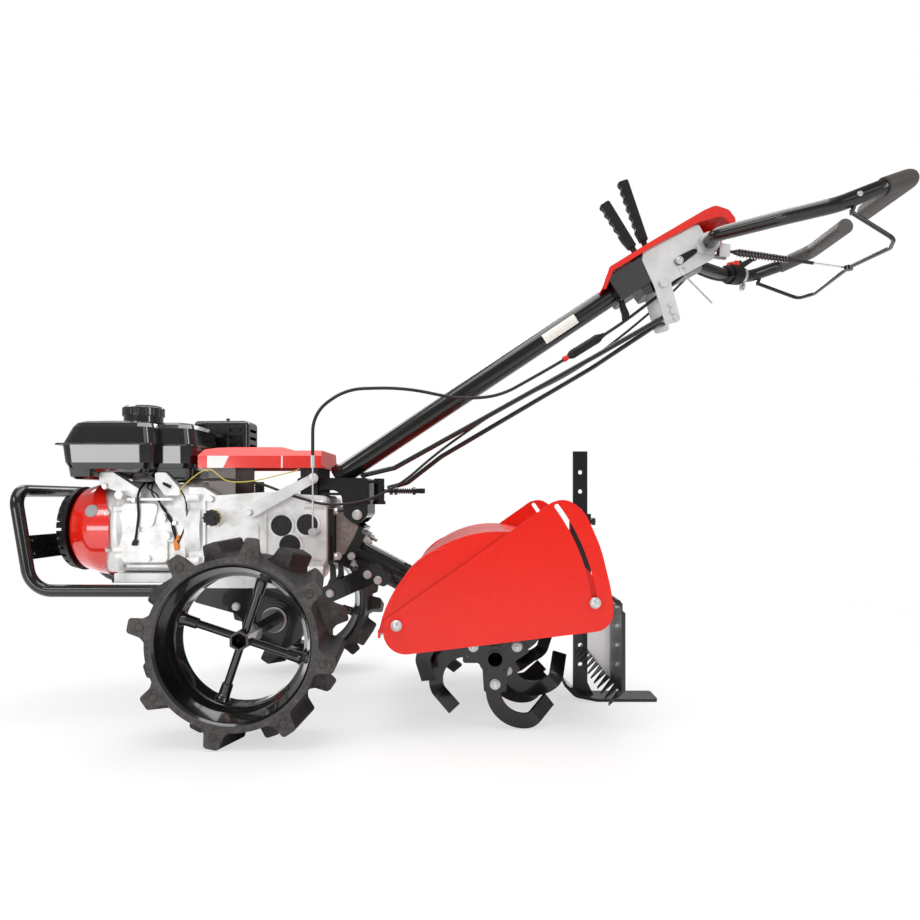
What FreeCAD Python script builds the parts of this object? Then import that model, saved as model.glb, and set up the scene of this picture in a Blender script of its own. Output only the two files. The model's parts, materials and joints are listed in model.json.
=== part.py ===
"""Walk-behind rotary tiller: an engine and gearbox on two lugged wheels, a hooded tine rotor behind them,
and a long steering column with a console and two handlebars.

X runs from the front bumper to the handlebar grips, Y to the operator's right-hand side, Z up.
The origin is on the ground under the middle of the machine. All sizes are millimetres.
"""
import FreeCAD, Part
import math
import os

os.makedirs("parts", exist_ok=True)

Vector = FreeCAD.Vector
X, Y, Z = Vector(1, 0, 0), Vector(0, 1, 0), Vector(0, 0, 1)

# ---------------------------------------------------------------- driving dimensions
# Ground wheels
axle_x = -370.0                # wheel axle, along the machine
lug_radius = 175.0             # over the lug tips
tyre_radius = 144.5            # rubber between the lugs
rim_radius = 133.0             # outside of the steel rim at its two edges
rim_waist = 110.5              # inside of the rim at its middle
rim_wall = 3.0
wheel_outside = 345.0          # outer face of each tyre from the middle of the machine
tyre_width = 130.0
lugs_per_row = 8
lug_root = 48.0                # lug lengths round the wheel, at the rubber, above its fillet and at the tip
lug_neck = 33.0
lug_tip = 25.0
lug_fillet = 9.0               # height of the fillet at a lug's root
lug_round = 6.0                # radius of a lug's tip corners
lug_reach = 76.0               # length of each lug across the tyre
lug_skew = 7.0                 # degrees that a lug leans round the wheel along its length
spoke_radius = 7.2
spoke_lead = 71.5              # degrees from level to the first of the four spokes
rim_shoulder = 44.0            # from the rim's edge to its waist
hub_flats = 32.0
hub_inboard = 60.0             # length of the hub on the inner side of the rim's middle
hub_recess = 42.0              # outer end of the hub inside the tyre's outer face
axle_flats = 23.6
hub_clearance = 0.4            # of the hexagonal hub over the axle, across the flats
axle_journal = 15.0
axle_setback = 34.0            # end of the axle inside the end of its hub
running_gap = 0.05             # radial clearance of a shaft in its bearing bore
seat_gap = 0.3                 # clearance between pieces that only rest near each other

# Engine
crank_z = 356.0
shroud_radius = 95.0
shroud_front = -782.0
shroud_back = -690.0
shroud_wall = 3.0
scoop_radius = 146.0
scoop_depth = 36.0
grille_front = -811.0
crankcase_front = -691.0
crankcase_back = -541.0
crankcase_half = 95.0
bearer_top_z = 262.0
bearer_half = 90.0
tank_front = -785.0
tank_back = -522.0
tank_left = -130.0
tank_right = 82.0
tank_seam_z = 524.0
tank_waist = -588.0             # the tank narrows on its left behind here
tank_rear_left = -92.0
tank_top_z = 574.0
tank_bottom_z = 470.0
tank_sump_z = 456.0
cap_x = -653.0
cap_y = -22.0
cap_radius = 41.0
cap_base_z = 587.0

# Front bumper
bumper_tube = 12.0             # radius
bumper_tie = 10.0              # radius of the bar between the rails
bumper_front = -850.0
bumper_half = 140.0
bumper_low_z = 241.0
bumper_high_z = 433.0

# Gearbox and axle case
gearbox_back = -262.0
gearbox_half = 88.0
gearbox_top_z = 431.0
gearbox_floor_z = 240.0
case_half = 62.0
seal_face = 75.0
case_floor_z = 112.0

# Steering column
column_radius = 21.2
column_wall = 3.0
column_low = Vector(-257.0, 0, 460.5)
column_slope = 33.7            # degrees above level
column_length = 812.0

# Tine drive and rotor
rotor_x = 68.5
rotor_z = 130.0
rotor_tube = 16.0
rotor_bore = 13.0
rotor_half = 240.0
tine_stations = (72.0, 148.0, 225.0)
tine_phases = (6.0, 34.0, 0.0)
tine_width = 27.0
tine_set = 26.0                # how far a blade's tip is bent to one side
tine_thick = 7.0
arm_thick = 8.0
boom_radius = 30.0
boom_slope = 28.0
boom_lift = 31.0               # boom's centre line above the foot of its bolting flange
flange_low = Vector(-240.7, 0, 284.2)
flange_high = Vector(-200.0, 0, 361.0)
flange_thick = 8.0

# Hood and its side plates
hood_half = 250.0
sheet = 2.0
hood_front = (-139.0, 178.0)
hood_crown = (78.0, 359.0)
hood_rear = (270.0, 236.0)
guard_gap = 3.0                # between the hood wall and a side plate
guard_thick = 2.5
guard_pivot = (-106.0, 194.0)
guard_bolt = (244.0, 234.0)
guard_drop = 30.0              # degrees that a side plate swings down
guard_bolt_radius = 4.0

# Rear board
board_hinge = (287.0, 232.0)
board_half = 246.0
board_low_z = 70.0
comb_teeth = 12

# Depth stake
stake_x = 254.0
stake_wide = 30.0
stake_thick = 8.0
stake_top_z = 517.0
stake_pitch = 40.25
stake_hole_z = 473.0           # top hole of the row
stake_gap = 0.5                # between the stake and its guide
skid_back = 409.0

# Handlebars
bar_radius = 14.0
bar_wall = 2.0
grip_wall = 2.5
bar_reach = (93.44, 29.97)     # from the column's top end to the cross tube that the bars tilt about
console_half = 45.0
console_sheet = 3.0


# ---------------------------------------------------------------- shape helpers
def point(x, z, y=0.0):
    """A place in the machine's side view, y to the right."""
    return Vector(x, y, z)


def rounded_wire(points, radii, closed=False):
    """A wire of straight runs joined by tangent arcs; radii is one number or one per corner."""
    count = len(points)
    corners = list(range(count)) if closed else list(range(1, count - 1))
    if not isinstance(radii, (list, tuple)):
        radii = [radii] * len(corners)
    arcs = {}
    for corner, radius in zip(corners, radii):
        before, here, after = points[corner - 1], points[corner], points[(corner + 1) % count]
        leaving = (here - before).normalize()
        going = (after - here).normalize()
        turn = leaving.getAngle(going)
        if radius <= 0 or turn < 1e-4:
            continue
        back = radius * math.tan(turn / 2)
        inward = (going - leaving).normalize()
        centre = here + inward * (radius / math.cos(turn / 2))
        arcs[corner] = (here - leaving * back, centre - inward * radius, here + going * back)
    edges = []
    steps = range(count) if closed else range(count - 1)
    for step in steps:
        following = (step + 1) % count
        start = arcs[step][2] if step in arcs else points[step]
        end = arcs[following][0] if following in arcs else points[following]
        if (end - start).Length > 1e-6:
            edges.append(Part.LineSegment(start, end).toShape())
        if following in arcs:
            edges.append(Part.Arc(*arcs[following]).toShape())
    return Part.Wire(Part.__sortEdges__(edges)) if closed else Part.Wire(edges)


def plate(outline, near, far, radii=0.0):
    """A plate in the side view: (x, z) corners, rounded, from y = near to y = far."""
    wire = rounded_wire([point(x, z, near) for x, z in outline], radii, closed=True)
    return Part.Face(wire).extrude(Vector(0, far - near, 0))


def cross_plate(outline, front, back, radii=0.0):
    """A plate seen from the front: (y, z) corners, rounded, from x = front to x = back."""
    wire = rounded_wire([Vector(front, y, z) for y, z in outline], radii, closed=True)
    return Part.Face(wire).extrude(Vector(back - front, 0, 0))


def level_plate(outline, low, high, radii=0.0):
    """A level plate: (x, y) corners, rounded, from z = low to z = high."""
    wire = rounded_wire([Vector(x, y, low) for x, y in outline], radii, closed=True)
    return Part.Face(wire).extrude(Vector(0, 0, high - low))


def block(low_x, high_x, low_y, high_y, low_z, high_z):
    return Part.makeBox(high_x - low_x, high_y - low_y, high_z - low_z, Vector(low_x, low_y, low_z))


def rod(points, radius, bend=0.0, wall=0.0):
    """A round bar, or a tube with that wall, along straight runs joined by arcs."""
    path = rounded_wire(points, bend)
    direction = points[1] - points[0]

    def swept(size):
        ring = Part.Wire([Part.makeCircle(size, points[0], direction)])
        return path.makePipeShell([ring], True, False)

    return swept(radius).cut(swept(radius - wall)) if wall else swept(radius)


def disc(radius, start, direction, length):
    return Part.makeCylinder(radius, length, start, direction)


def turned(profile, centre, axis, bends=0.0):
    """A solid of revolution; profile holds (distance along the axis, radius) pairs, rounded by bends."""
    side = axis.cross(Y) if abs(axis.dot(Y)) < 0.9 else Z
    corners = [centre + axis * along + side * radius for along, radius in profile]
    return Part.Face(rounded_wire(corners, bends, closed=True)).revolve(centre, axis, 360)


def hexagon(flats, start, direction, length):
    """A hexagonal bar, measured across its flats."""
    radius = flats / math.sqrt(3)
    side = X.cross(direction).normalize()
    across = direction.cross(side).normalize()
    corners = []
    for step in range(7):
        angle = math.radians(60 * step)
        corners.append(start + side * (radius * math.cos(angle)) + across * (radius * math.sin(angle)))
    return Part.Face(Part.makePolygon(corners)).extrude(direction * length)


def joined(*solids):
    """One solid from pieces that touch, added one after another."""
    whole = solids[0]
    for piece in solids[1:]:
        whole = whole.fuse(piece)
    merged = whole.removeSplitter()
    return merged if merged.isValid() else whole


def mirrored(shape):
    """The same shape on the other side of the machine."""
    return shape.mirror(Vector(0, 0, 0), Y)


def save(name, shape):
    solids = shape.Solids
    if not solids or not shape.isValid():
        raise ValueError(name + " is not a sound solid")
    shape = solids[0] if len(solids) == 1 else Part.makeCompound(solids)
    shape.exportStep("parts/" + name + ".step")


# ---------------------------------------------------------------- ground wheels
lug_step = 360.0 / lugs_per_row
lug_top = math.sqrt(lug_radius ** 2 - (lug_tip / 2) ** 2)
lug_base = tyre_radius - 3
lug_flank = math.atan2((lug_neck - lug_tip) / 2, lug_top - lug_base - lug_fillet)
corner_back = lug_round * math.tan(math.pi / 4 - lug_flank / 2)
lowest_lean = math.radians(lug_step / 4 - lug_skew)
axle_z = ((lug_top - lug_round) * math.cos(lowest_lean) + (lug_tip / 2 - corner_back) * math.sin(lowest_lean)
          + lug_round)
axle = point(axle_x, axle_z)
tyre_inside = wheel_outside - tyre_width
rim_middle = (wheel_outside + tyre_inside) / 2
hub_outside = wheel_outside - hub_recess
print("axle height", round(axle_z, 3))


def lug(angle, from_y, to_y, skew):
    """One tyre lug, rounded at its tip and leaning round the wheel from one end to the other."""

    def outline(y, degrees):
        turn = math.radians(degrees)
        outward = Vector(math.cos(turn), 0, math.sin(turn))
        round_wheel = Vector(-math.sin(turn), 0, math.cos(turn))
        flank = ((lug_base, lug_root / 2), (lug_base + lug_fillet, lug_neck / 2), (lug_top, lug_tip / 2))
        section = [(height, -half) for height, half in flank]
        section += [(height, half) for height, half in reversed(flank)]
        corners = [axle + Y * y + outward * height + round_wheel * half for height, half in section]
        return rounded_wire(corners, [0, 12, lug_round, lug_round, 12, 0], closed=True)

    return Part.makeLoft([outline(from_y, angle), outline(to_y, angle + skew)], True, True)


def rim_profile(grow):
    """The rim's section, a rounded shoulder each side of its waist, as (across, radius) pairs."""
    half = [(0, rim_radius), (5, rim_radius - 4), (rim_shoulder - 15, rim_waist + 9),
            (rim_shoulder, rim_waist)]
    near = [(tyre_inside + in_from, radius + grow) for in_from, radius in half]
    far = [(wheel_outside - in_from, radius + grow) for in_from, radius in reversed(half)]
    return near + far


def rim_drum(grow):
    """All that lies inside the rim's section, as one solid."""
    bends = [0, 8, 30, 16, 16, 30, 8, 0]
    return turned(rim_profile(grow) + [(wheel_outside, 0), (tyre_inside, 0)], axle, Y, bends + [0, 0])


def make_tyre():
    band = disc(tyre_radius, axle + Y * tyre_inside, Y, tyre_width)
    lugs = []
    for number in range(lugs_per_row):
        outer_angle = lug_step * number - lug_step / 4
        lugs.append(lug(outer_angle, wheel_outside, wheel_outside - lug_reach, lug_skew))
        lugs.append(lug(outer_angle + lug_step / 2, tyre_inside, tyre_inside + lug_reach, lug_skew))
    return joined(band, *lugs).cut(rim_drum(rim_wall))


def make_rim():
    shell = rim_drum(rim_wall).cut(rim_drum(0))
    hub_start = axle + Y * (rim_middle - hub_inboard)
    hub = hexagon(hub_flats, hub_start, Y, hub_outside - rim_middle + hub_inboard)
    pieces = [shell]
    middle = axle + Y * rim_middle
    for number in range(4):
        turn = math.radians(spoke_lead + 90 * number)
        outward = Vector(math.cos(turn), 0, math.sin(turn))
        foot = hub_flats / 2 - 1
        pieces.append(disc(spoke_radius, middle + outward * foot, outward, rim_waist - foot + 1))
        cup = [(0, 0), (0, spoke_radius + 2.6), (22, spoke_radius + 3), (29.5, spoke_radius + 8), (29.5, 0)]
        pieces.append(turned(cup, middle + outward * (rim_waist - 29), outward, [0, 2, 12, 0, 0]))
    wheel = joined(hub, *pieces)
    return wheel.cut(hexagon(axle_flats + hub_clearance, hub_start - Y, Y, tyre_width))


def make_axle():
    journal = disc(axle_journal, axle - Y * seal_face, Y, 2 * seal_face)
    end = hexagon(axle_flats, axle + Y * (seal_face - 1), Y, hub_outside - axle_setback - seal_face)
    collar = disc(23, axle + Y * (seal_face + 6), Y, 8)
    return joined(journal, end, collar, mirrored(end), mirrored(collar))


tyre = make_tyre()
rim = make_rim()
save("right_tyre", tyre)
save("left_tyre", mirrored(tyre))
save("right_wheel_rim", rim)
save("left_wheel_rim", mirrored(rim))
save("axle_shaft", make_axle())


# ---------------------------------------------------------------- engine
crank = point(0, crank_z)


def shroud_scoop(grow):
    """The upright cylinder that hollows the shroud's rear edge and rounds the crankcase's nose."""
    return disc(scoop_radius - grow, point(shroud_back + scoop_radius - scoop_depth, crank_z - 110), Z, 220)


def make_fan_shroud():
    """A spun bowl that opens towards the flywheel, with a rolled rear edge."""
    length = shroud_back - shroud_front
    wall = shroud_wall
    outer = [(0, 64), (0, shroud_radius - 14), (44, shroud_radius), (length - 8, shroud_radius + 1),
             (length - 7, shroud_radius + 3), (length, shroud_radius + 3)]
    inner = [(length, shroud_radius - wall), (44, shroud_radius - wall), (wall, shroud_radius - 14 - wall),
             (wall, 64)]
    bowl = turned(outer + inner, point(shroud_front, crank_z), X, [0, 20, 60, 0, 0, 0, 0, 56, 12, 0])
    return bowl.cut(shroud_scoop(0))


def make_recoil_grille():
    """The domed starter cover: ribs fan out from a plain middle and fold back over the rim."""
    depth = shroud_front - grille_front
    profile = [(0, 0), (0, 66), (9, 82), (depth - 0.1, 87), (depth - 0.1, 72), (depth - 5, 72), (13, 69),
               (6, 0)]
    cup = turned(profile, point(grille_front, crank_z), X, [0, 14, 10, 0, 0, 0, 8, 0])
    ribs = 28
    slots = []
    for number in range(ribs):
        slot = block(grille_front - 1, grille_front + depth - 8, 36, 90, crank_z - 3.2, crank_z + 3.2)
        slot.rotate(point(grille_front, crank_z), X, 360 / ribs * number)
        slots.append(slot)
    boss = turned([(-2.5, 0), (-2.5, 24), (1, 28), (1, 0)], point(grille_front, crank_z), X)
    return joined(cup.cut(Part.makeCompound(slots)), boss)


def make_crankcase():
    """The crankcase casting: flange ring with ears, side panels, bosses, ribs and the arms under the tank."""
    end_on = [(-78, 272), (78, 272), (92, 300), (92, 400), (60, 447), (-60, 447), (-92, 400), (-92, 300)]
    body = cross_plate(end_on, shroud_back + 12, crankcase_back, 18)
    ring = turned([(0, 60), (0, shroud_radius), (9, 99), (16, 99), (26, shroud_radius - 4), (30, 60)],
                  point(shroud_back + 0.1, crank_z), X, [0, 6, 4, 4, 6, 0])
    ears = []
    for degrees in (25, 70, 110, 155, 205, 250, 290, 335):
        turn = math.radians(degrees)
        spot = Vector(shroud_back + 8, 96 * math.cos(turn), crank_z + 96 * math.sin(turn))
        ears.append(disc(8, spot, X, 26))
    rear = disc(88, point(crankcase_back - 22, crank_z), X, 22)
    nose = disc(shroud_radius - shroud_wall - seat_gap, point(shroud_back - 46, crank_z), X, 60)
    nose = nose.common(shroud_scoop(seat_gap))
    ribs = [block(shroud_back + 36, crankcase_back - 24, -96, 96, z, z + 5) for z in (282, 414)]
    foot = block(crankcase_front + 12, crankcase_back - 18, -97, 97, bearer_top_z, 270)
    lip = block(crankcase_front + 12, crankcase_back - 18, -97, -bearer_half - seat_gap, 253, 270)
    panel = plate([(-664, 292), (-574, 292), (-574, 352), (-664, 352)], -97, -88, 9)
    upper_panel = plate([(-664, 362), (-604, 362), (-592, 408), (-664, 408)], -96, -88, 9)
    bosses = [disc(radius, point(x, z, -103), Y, 34) for x, z, radius in
              ((-583, 379, 8), (-576, 344, 9), (-668, 425, 8), (-612, 300, 6), (-560, 300, 8))]
    cleats = [disc(7, point(x, z, -90), X, 34) for x, z in ((-672, 398), (-596, 336))]
    seat = tank_bottom_z - seat_gap
    arm = plate([(-716, seat), (-686, seat), (-634, 436), (-630, 422), (-640, 418), (-684, 434), (-712, 444)],
                -86, -62, [6, 8, 6, 6, 6, 10, 8])
    post = plate([(-604, seat), (-582, seat), (-556, 440), (-552, 424), (-584, 424), (-602, 450)],
                 -86, -62, 5)
    arms = [arm, post, mirrored(arm), mirrored(post)]
    fittings = [*ears, *bosses, *cleats, *arms, *ribs]
    return joined(body, ring, rear, nose, foot, lip, mirrored(lip), panel, upper_panel, *fittings)


def tank_stack(front, back, left, levels):
    """Level outlines lofted upwards; each level is moved in at its front, back and sides."""
    rings = []
    for z, in_front, in_back, in_side, corner in levels:
        near, far = left + in_side, tank_right - in_side
        corners = [(front + in_front, near), (back - in_back, near), (back - in_back, far),
                   (front + in_front, far)]
        rings.append(rounded_wire([Vector(x, y, z) for x, y in corners], corner, closed=True))
    return Part.makeLoft(rings, True, True)


def make_fuel_tank():
    """A pressed tank: two halves at a rolled seam, with a narrower rear end."""
    upper = [(tank_seam_z, 9, 5, 5, 26), (tank_top_z - 16, 27, 10, 9, 26), (tank_top_z - 8, 33, 14, 15, 24),
             (tank_top_z - 3.5, 42, 24, 28, 22), (tank_top_z, 70, 44, 56, 18)]
    lower = [(tank_bottom_z, 34, 24, 24, 20), (tank_bottom_z + 6, 21, 12, 12, 22),
             (tank_bottom_z + 18, 14, 7, 7, 24), (tank_seam_z, 9, 5, 5, 26)]
    seam = [(tank_seam_z - 1.6, 0, 0, 0, 17), (tank_seam_z + 1.6, 0, 0, 0, 17)]
    pieces = []
    for levels in (upper, lower, seam):
        pieces.append(tank_stack(tank_front, tank_waist, tank_left, levels))
        pieces.append(tank_stack(tank_front + 90, tank_back, tank_rear_left, levels))
    sump = [(tank_sump_z, 8, 8, 12, 12), (tank_sump_z + 5, 2, 2, 4, 14), (tank_bottom_z + 8, 0, 0, 0, 16)]
    pieces.append(tank_stack(tank_front + 21, tank_front + 72, tank_left + 12, sump))
    pieces.append(tank_stack(tank_waist - 22, tank_back - 12, tank_rear_left + 10, sump))
    neck = disc(cap_radius - 3, point(cap_x, tank_top_z - 6, cap_y), Z, cap_base_z - tank_top_z + 6)
    return joined(*pieces, neck)


def make_fuel_cap():
    """The screw cap: a scalloped skirt under a domed top."""
    base = point(cap_x, cap_base_z, cap_y)
    profile = [(0, 0), (0, cap_radius), (17, cap_radius), (22, cap_radius - 8), (22, 0)]
    cap = turned(profile, base, Z, [0, 2, 3, 4, 0])
    flutes = 18
    grips = []
    for number in range(flutes):
        turn = math.radians(360 / flutes * number)
        grips.append(disc(3.4, base + Vector(math.cos(turn), math.sin(turn), 0) * (cap_radius + 1.4), Z, 17))
    return cap.cut(Part.makeCompound(grips))


def make_cylinder_head():
    """The finned cylinder leaning to the right, with its rocker cover."""
    fins = []
    for number in range(7):
        y = 88 + 11 * number
        fins.append(block(-664, -560, y, y + 4, 352, 440))
    core = block(-648, -576, 84, 160, 362, 430)
    cover = block(-656, -568, 156, 184, 356, 436)
    leaning = joined(core, cover.makeFillet(8, cover.Edges), *fins)
    leaning.rotate(point(0, crank_z, 90), X, 12)
    return leaning


def make_muffler():
    """The slotted guard round the silencer, with the can inside and its pipe up from the cylinder."""
    outer = block(-595, -473, 100, 182, 482, 593)
    inner = block(-592, -476, 103, 179, 485, 590)
    guard = outer.makeFillet(10, outer.Edges).cut(inner.makeFillet(7, inner.Edges))
    slots = []
    for number in range(5):
        z = 500 + 17 * number
        slots.append(block(-480, -460, 116, 166, z, z + 7))
        slots.append(block(-580, -488, 170, 190, z, z + 7))
        slots.append(block(-514, -487, 95, 106, z, z + 7))
    guard = guard.cut(Part.makeCompound(slots))
    can = block(-588, -482, 107, 175, 484.9, 586)
    can = can.makeFillet(16, [edge for edge in can.Edges if abs(edge.tangentAt(edge.FirstParameter).z) > 0.9])
    stud = disc(4, point(-530, 589, 140), Z, 12)
    pipe = rod([Vector(-560, 150, 436), Vector(-560, 150, 470), Vector(-545, 145, 492)], 14, 12)
    return joined(guard, can, stud, pipe)


def make_air_cleaner():
    body = block(-760, -640, 92, 186, 470, 566)
    body = body.makeFillet(14, body.Edges)
    neck = rod([Vector(-700, 130, 480), Vector(-700, 130, 440), Vector(-665, 120, 415)], 22, 18)
    return joined(body, neck)


def make_engine_mount():
    """The two bearers under the engine, tied by cross bars that sit on the bumper's rails."""
    low, high = bumper_low_z + bumper_tie + seat_gap, bearer_top_z
    back = crankcase_back - 2
    half = bearer_half
    bearer = block(crankcase_front + 4, back, -half, -62, low, high)
    tie = block(crankcase_front + 20, crankcase_front + 50, -half, half, low, high)
    back_tie = block(back - 32, back, -half, half, low, high)
    return joined(bearer, mirrored(bearer), tie, back_tie)


def make_front_bumper():
    """One bent tube: two low rails, two uprights that lean forward, and the bar across their tops."""
    low, high = bumper_low_z, bumper_high_z
    rail_end = crankcase_back - 15
    path = [Vector(rail_end, -bumper_half, low), Vector(bumper_front + 32, -bumper_half, low),
            Vector(bumper_front, -bumper_half, high), Vector(bumper_front, 0, high)]
    rail = rod(path, bumper_tube, [48, 34])
    tie = rod([Vector(rail_end - 14, -bumper_half, low), Vector(rail_end - 14, bumper_half, low)], bumper_tie)
    return joined(rail, mirrored(rail), tie)


def make_bumper_plate():
    """The flat plate between the two uprights."""
    lean = -32 / (bumper_high_z - bumper_low_z)
    low, high = 300, 346
    front = bumper_front + 30 + lean * (low - bumper_low_z)
    back = front + lean * (high - low)
    bar = plate([(front, low), (front + 4, low), (back + 4, high), (back, high)], -bumper_half, bumper_half)
    holes = [disc(3, Vector(front - 20, y, z), X, 40) for y in (-112, 112) for z in (310, 336)]
    return bar.cut(Part.makeCompound(holes))


save("fan_shroud", make_fan_shroud())
save("recoil_grille", make_recoil_grille())
fuel_tank = make_fuel_tank()
crankcase = make_crankcase().cut(fuel_tank)
save("crankcase", crankcase)
save("fuel_tank", fuel_tank)
save("fuel_cap", make_fuel_cap())
cylinder_head = make_cylinder_head().cut(crankcase)
save("cylinder_head", cylinder_head)
save("muffler", make_muffler().cut(cylinder_head))
save("air_cleaner", make_air_cleaner().cut(cylinder_head))
save("engine_mount", make_engine_mount().cut(crankcase))
bumper = make_front_bumper()
save("front_bumper", bumper)
save("bumper_plate", make_bumper_plate().cut(bumper))


# ---------------------------------------------------------------- gearbox and axle case
def make_gearbox():
    """The aluminium gearbox: bell housing at the engine, long body, bosses and top ribs."""
    start = crankcase_back + 6
    side = [(start, 262), (start, 440), (-505, 440), (-480, 424), (-380, gearbox_top_z),
            (gearbox_back, gearbox_top_z - 8), (gearbox_back, 296), (-300, gearbox_floor_z),
            (-500, gearbox_floor_z)]
    body = plate(side, -gearbox_half, gearbox_half, [0, 0, 14, 10, 10, 12, 12, 20, 20])
    bell = disc(98, point(crankcase_back, crank_z), X, 30)
    bosses = []
    for x, z in plug_places:
        bosses.append(disc(plug_radius + 4, point(x, z, -gearbox_half - 5), Y, 8))
    ribs = [block(x, x + 5, -gearbox_half - 4, gearbox_half + 4, 262, 414) for x in (-506, -385)]
    ribs.append(block(-500, gearbox_back - 6, -gearbox_half - 4, gearbox_half + 4, 297, 302))
    panel = plate([(-470, 328), (-396, 328), (-396, 368), (-470, 368)], -gearbox_half - 4, -gearbox_half + 2, 7)
    corners = [disc(11, point(-306, z, side * (gearbox_half - 6)), X, 38) for z in (405, 274)
               for side in (-1, 1)]
    ears = [disc(8, point(crankcase_back + 4, crank_z + rise, side * 92), X, 25) for rise in (-62, 62)
            for side in (-1, 1)]
    filler = disc(19, point(*dipstick, -gearbox_half - 10), Y, 12)
    body = joined(body, bell, filler, panel, *bosses, *ribs, *corners, *ears)
    recesses = [disc(plug_radius, point(x, z, -gearbox_half - 6), Y, 6) for x, z in plug_places]
    return body.cut(Part.makeCompound(recesses)).cut(axle_case_clearance())


plug_radius = 21.0
dipstick = (-484.0, 380.0)
plug_places = ((-350.0, 364.5), (-299.0, 366.5), (-333.5, 325.5))


def case_outline(grow=0.0):
    """The black plates under the gearbox in the side view, down to the case round the axle."""
    return [(-546 - grow, 212), (-508, 246 + grow), (-300 + grow, 246 + grow), (-306 + grow, 178),
            (-400, 150 - grow), (-428, 168 - grow), (-452, 186 - grow)]


def axle_case_clearance():
    return plate(case_outline(seat_gap), -case_half - seat_gap, case_half + seat_gap, 0)


def make_axle_case():
    body = plate(case_outline(), -case_half, case_half, [10, 8, 10, 20, 20, 10, 12])
    drum = disc(axle_z - case_floor_z, axle - Y * (case_half - 1), Y, 2 * case_half - 2)
    steps = [disc(radius, axle - Y * reach, Y, 2 * reach) for radius, reach in
             ((38, seal_face - 8), (33, seal_face - 4), (27, seal_face))]
    posts = block(-436, -410, -case_half - 5, case_half + 5, 136, gearbox_floor_z - seat_gap)
    return joined(body, drum, posts, *steps).cut(disc(axle_journal + running_gap, axle - Y * 90, Y, 180))


def make_gearbox_plugs():
    plugs = []
    for x, z in plug_places:
        plugs.append(disc(plug_radius - 0.2, point(x, z, -gearbox_half - 5.5), Y, 5.5))
    cap = disc(14, point(*dipstick, -gearbox_half - 23), Y, 13)
    breather = disc(9, point(-408, gearbox_top_z - 3.2, -40), Z, 24)
    return Part.makeCompound(plugs + [cap, breather])


def make_top_cover():
    """The red cover over the gearbox, chamfered along both sides and ends, with a raised ridge."""
    def body(inset):
        side = [(-518 + inset, 479 - inset), (-518 + inset, 504 - inset), (-508 + inset, 516 - inset),
                (-480 + inset, 520 - inset), (-352 - inset, 521 - inset), (-336 - inset, 514 - inset),
                (-273 - inset, 514 - inset), (-273 - inset, 479 - inset)]
        half = 86 - inset
        end_on = [(-half, 470), (-half, 503 - inset), (-half + 14, 522 - inset), (half - 14, 522 - inset),
                  (half, 503 - inset), (half, 470)]
        return plate(side, -half, half).common(cross_plate(end_on, -530, -260))

    ridge = level_plate([(-480, -30), (-370, -30), (-370, 30), (-480, 30)], 517.5, 524, 8)
    return joined(body(0), ridge).cut(body(3))


def make_cover_brackets(gearbox):
    """Folded sheet legs that stand on the gearbox and hold the top cover."""
    legs = []
    for front, back, top in ((-503, -449, 516.7), (-318, -284, 510.7)):
        leg = block(front, back, -68, -65, 418, top)
        rest = block(front, back, -68, 68, top - 3, top)
        legs.append(joined(leg, mirrored(leg), rest).cut(gearbox))
    return Part.makeCompound(legs)


def make_clutch_arm():
    """The bare steel release arm on its shaft, with the cable's clevis and pull wire."""
    near = -gearbox_half - 22
    low, high = point(-410, 391), point(-284, 457)
    along = (high - low).normalize()
    across = Vector(-along.z, 0, along.x)
    corners = [low - across * 13, high - across * 9, high + across * 9, low + across * 13]
    arm = plate([(c.x, c.z) for c in corners], near, near + 5, 0)
    arm = joined(arm, disc(13, point(low.x, low.z, near), Y, 5), disc(9, point(high.x, high.z, near), Y, 5))
    shaft = disc(9, point(low.x, low.z, near), Y, 22)
    pin = disc(4, point(high.x, high.z, near - 5), Y, 10)
    wire = disc(1.6, point(high.x, 352, near - 3), Z, 150)
    stop = disc(8, point(high.x, 352, near - 8), Y, 24)
    clevis = disc(4.5, point(high.x, 478, near - 3), Z, 24)
    return joined(arm, shaft, pin, wire, clevis, stop)


gearbox = make_gearbox()
save("gearbox", gearbox)
save("axle_case", make_axle_case())
save("gearbox_plugs", make_gearbox_plugs().cut(gearbox))
top_cover = make_top_cover()
save("top_cover", top_cover)
save("cover_brackets", make_cover_brackets(gearbox).cut(top_cover))
save("clutch_arm", make_clutch_arm())


# ---------------------------------------------------------------- steering column and its bracket
slope = math.radians(column_slope)
column_way = Vector(math.cos(slope), 0, math.sin(slope))
column_up = Vector(-math.sin(slope), 0, math.cos(slope))


def on_column(distance, lift=0.0, y=0.0):
    """A place beside the column: distance up it, lift square off it, y to the right."""
    return column_low + column_way * distance + column_up * lift + Y * y


column_top = on_column(column_length)
bar_axis = (column_top.x + bar_reach[0], column_top.z + bar_reach[1])


def by_bars(*offsets):
    """Side-view places given as (back, up) from the bars' axis, so that they move with the column's top."""
    return [(bar_axis[0] + back, bar_axis[1] + up) for back, up in offsets]


def make_steering_column():
    return rod([column_low, on_column(column_length)], column_radius, wall=column_wall)


bracket_half = 58.0
bracket_outline = [(-327, 460), (-184, 460), (-184, 384), (-205, 361), (-232, 383), (-238, 428), (-256, 436),
                   (-327, 436)]


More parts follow.
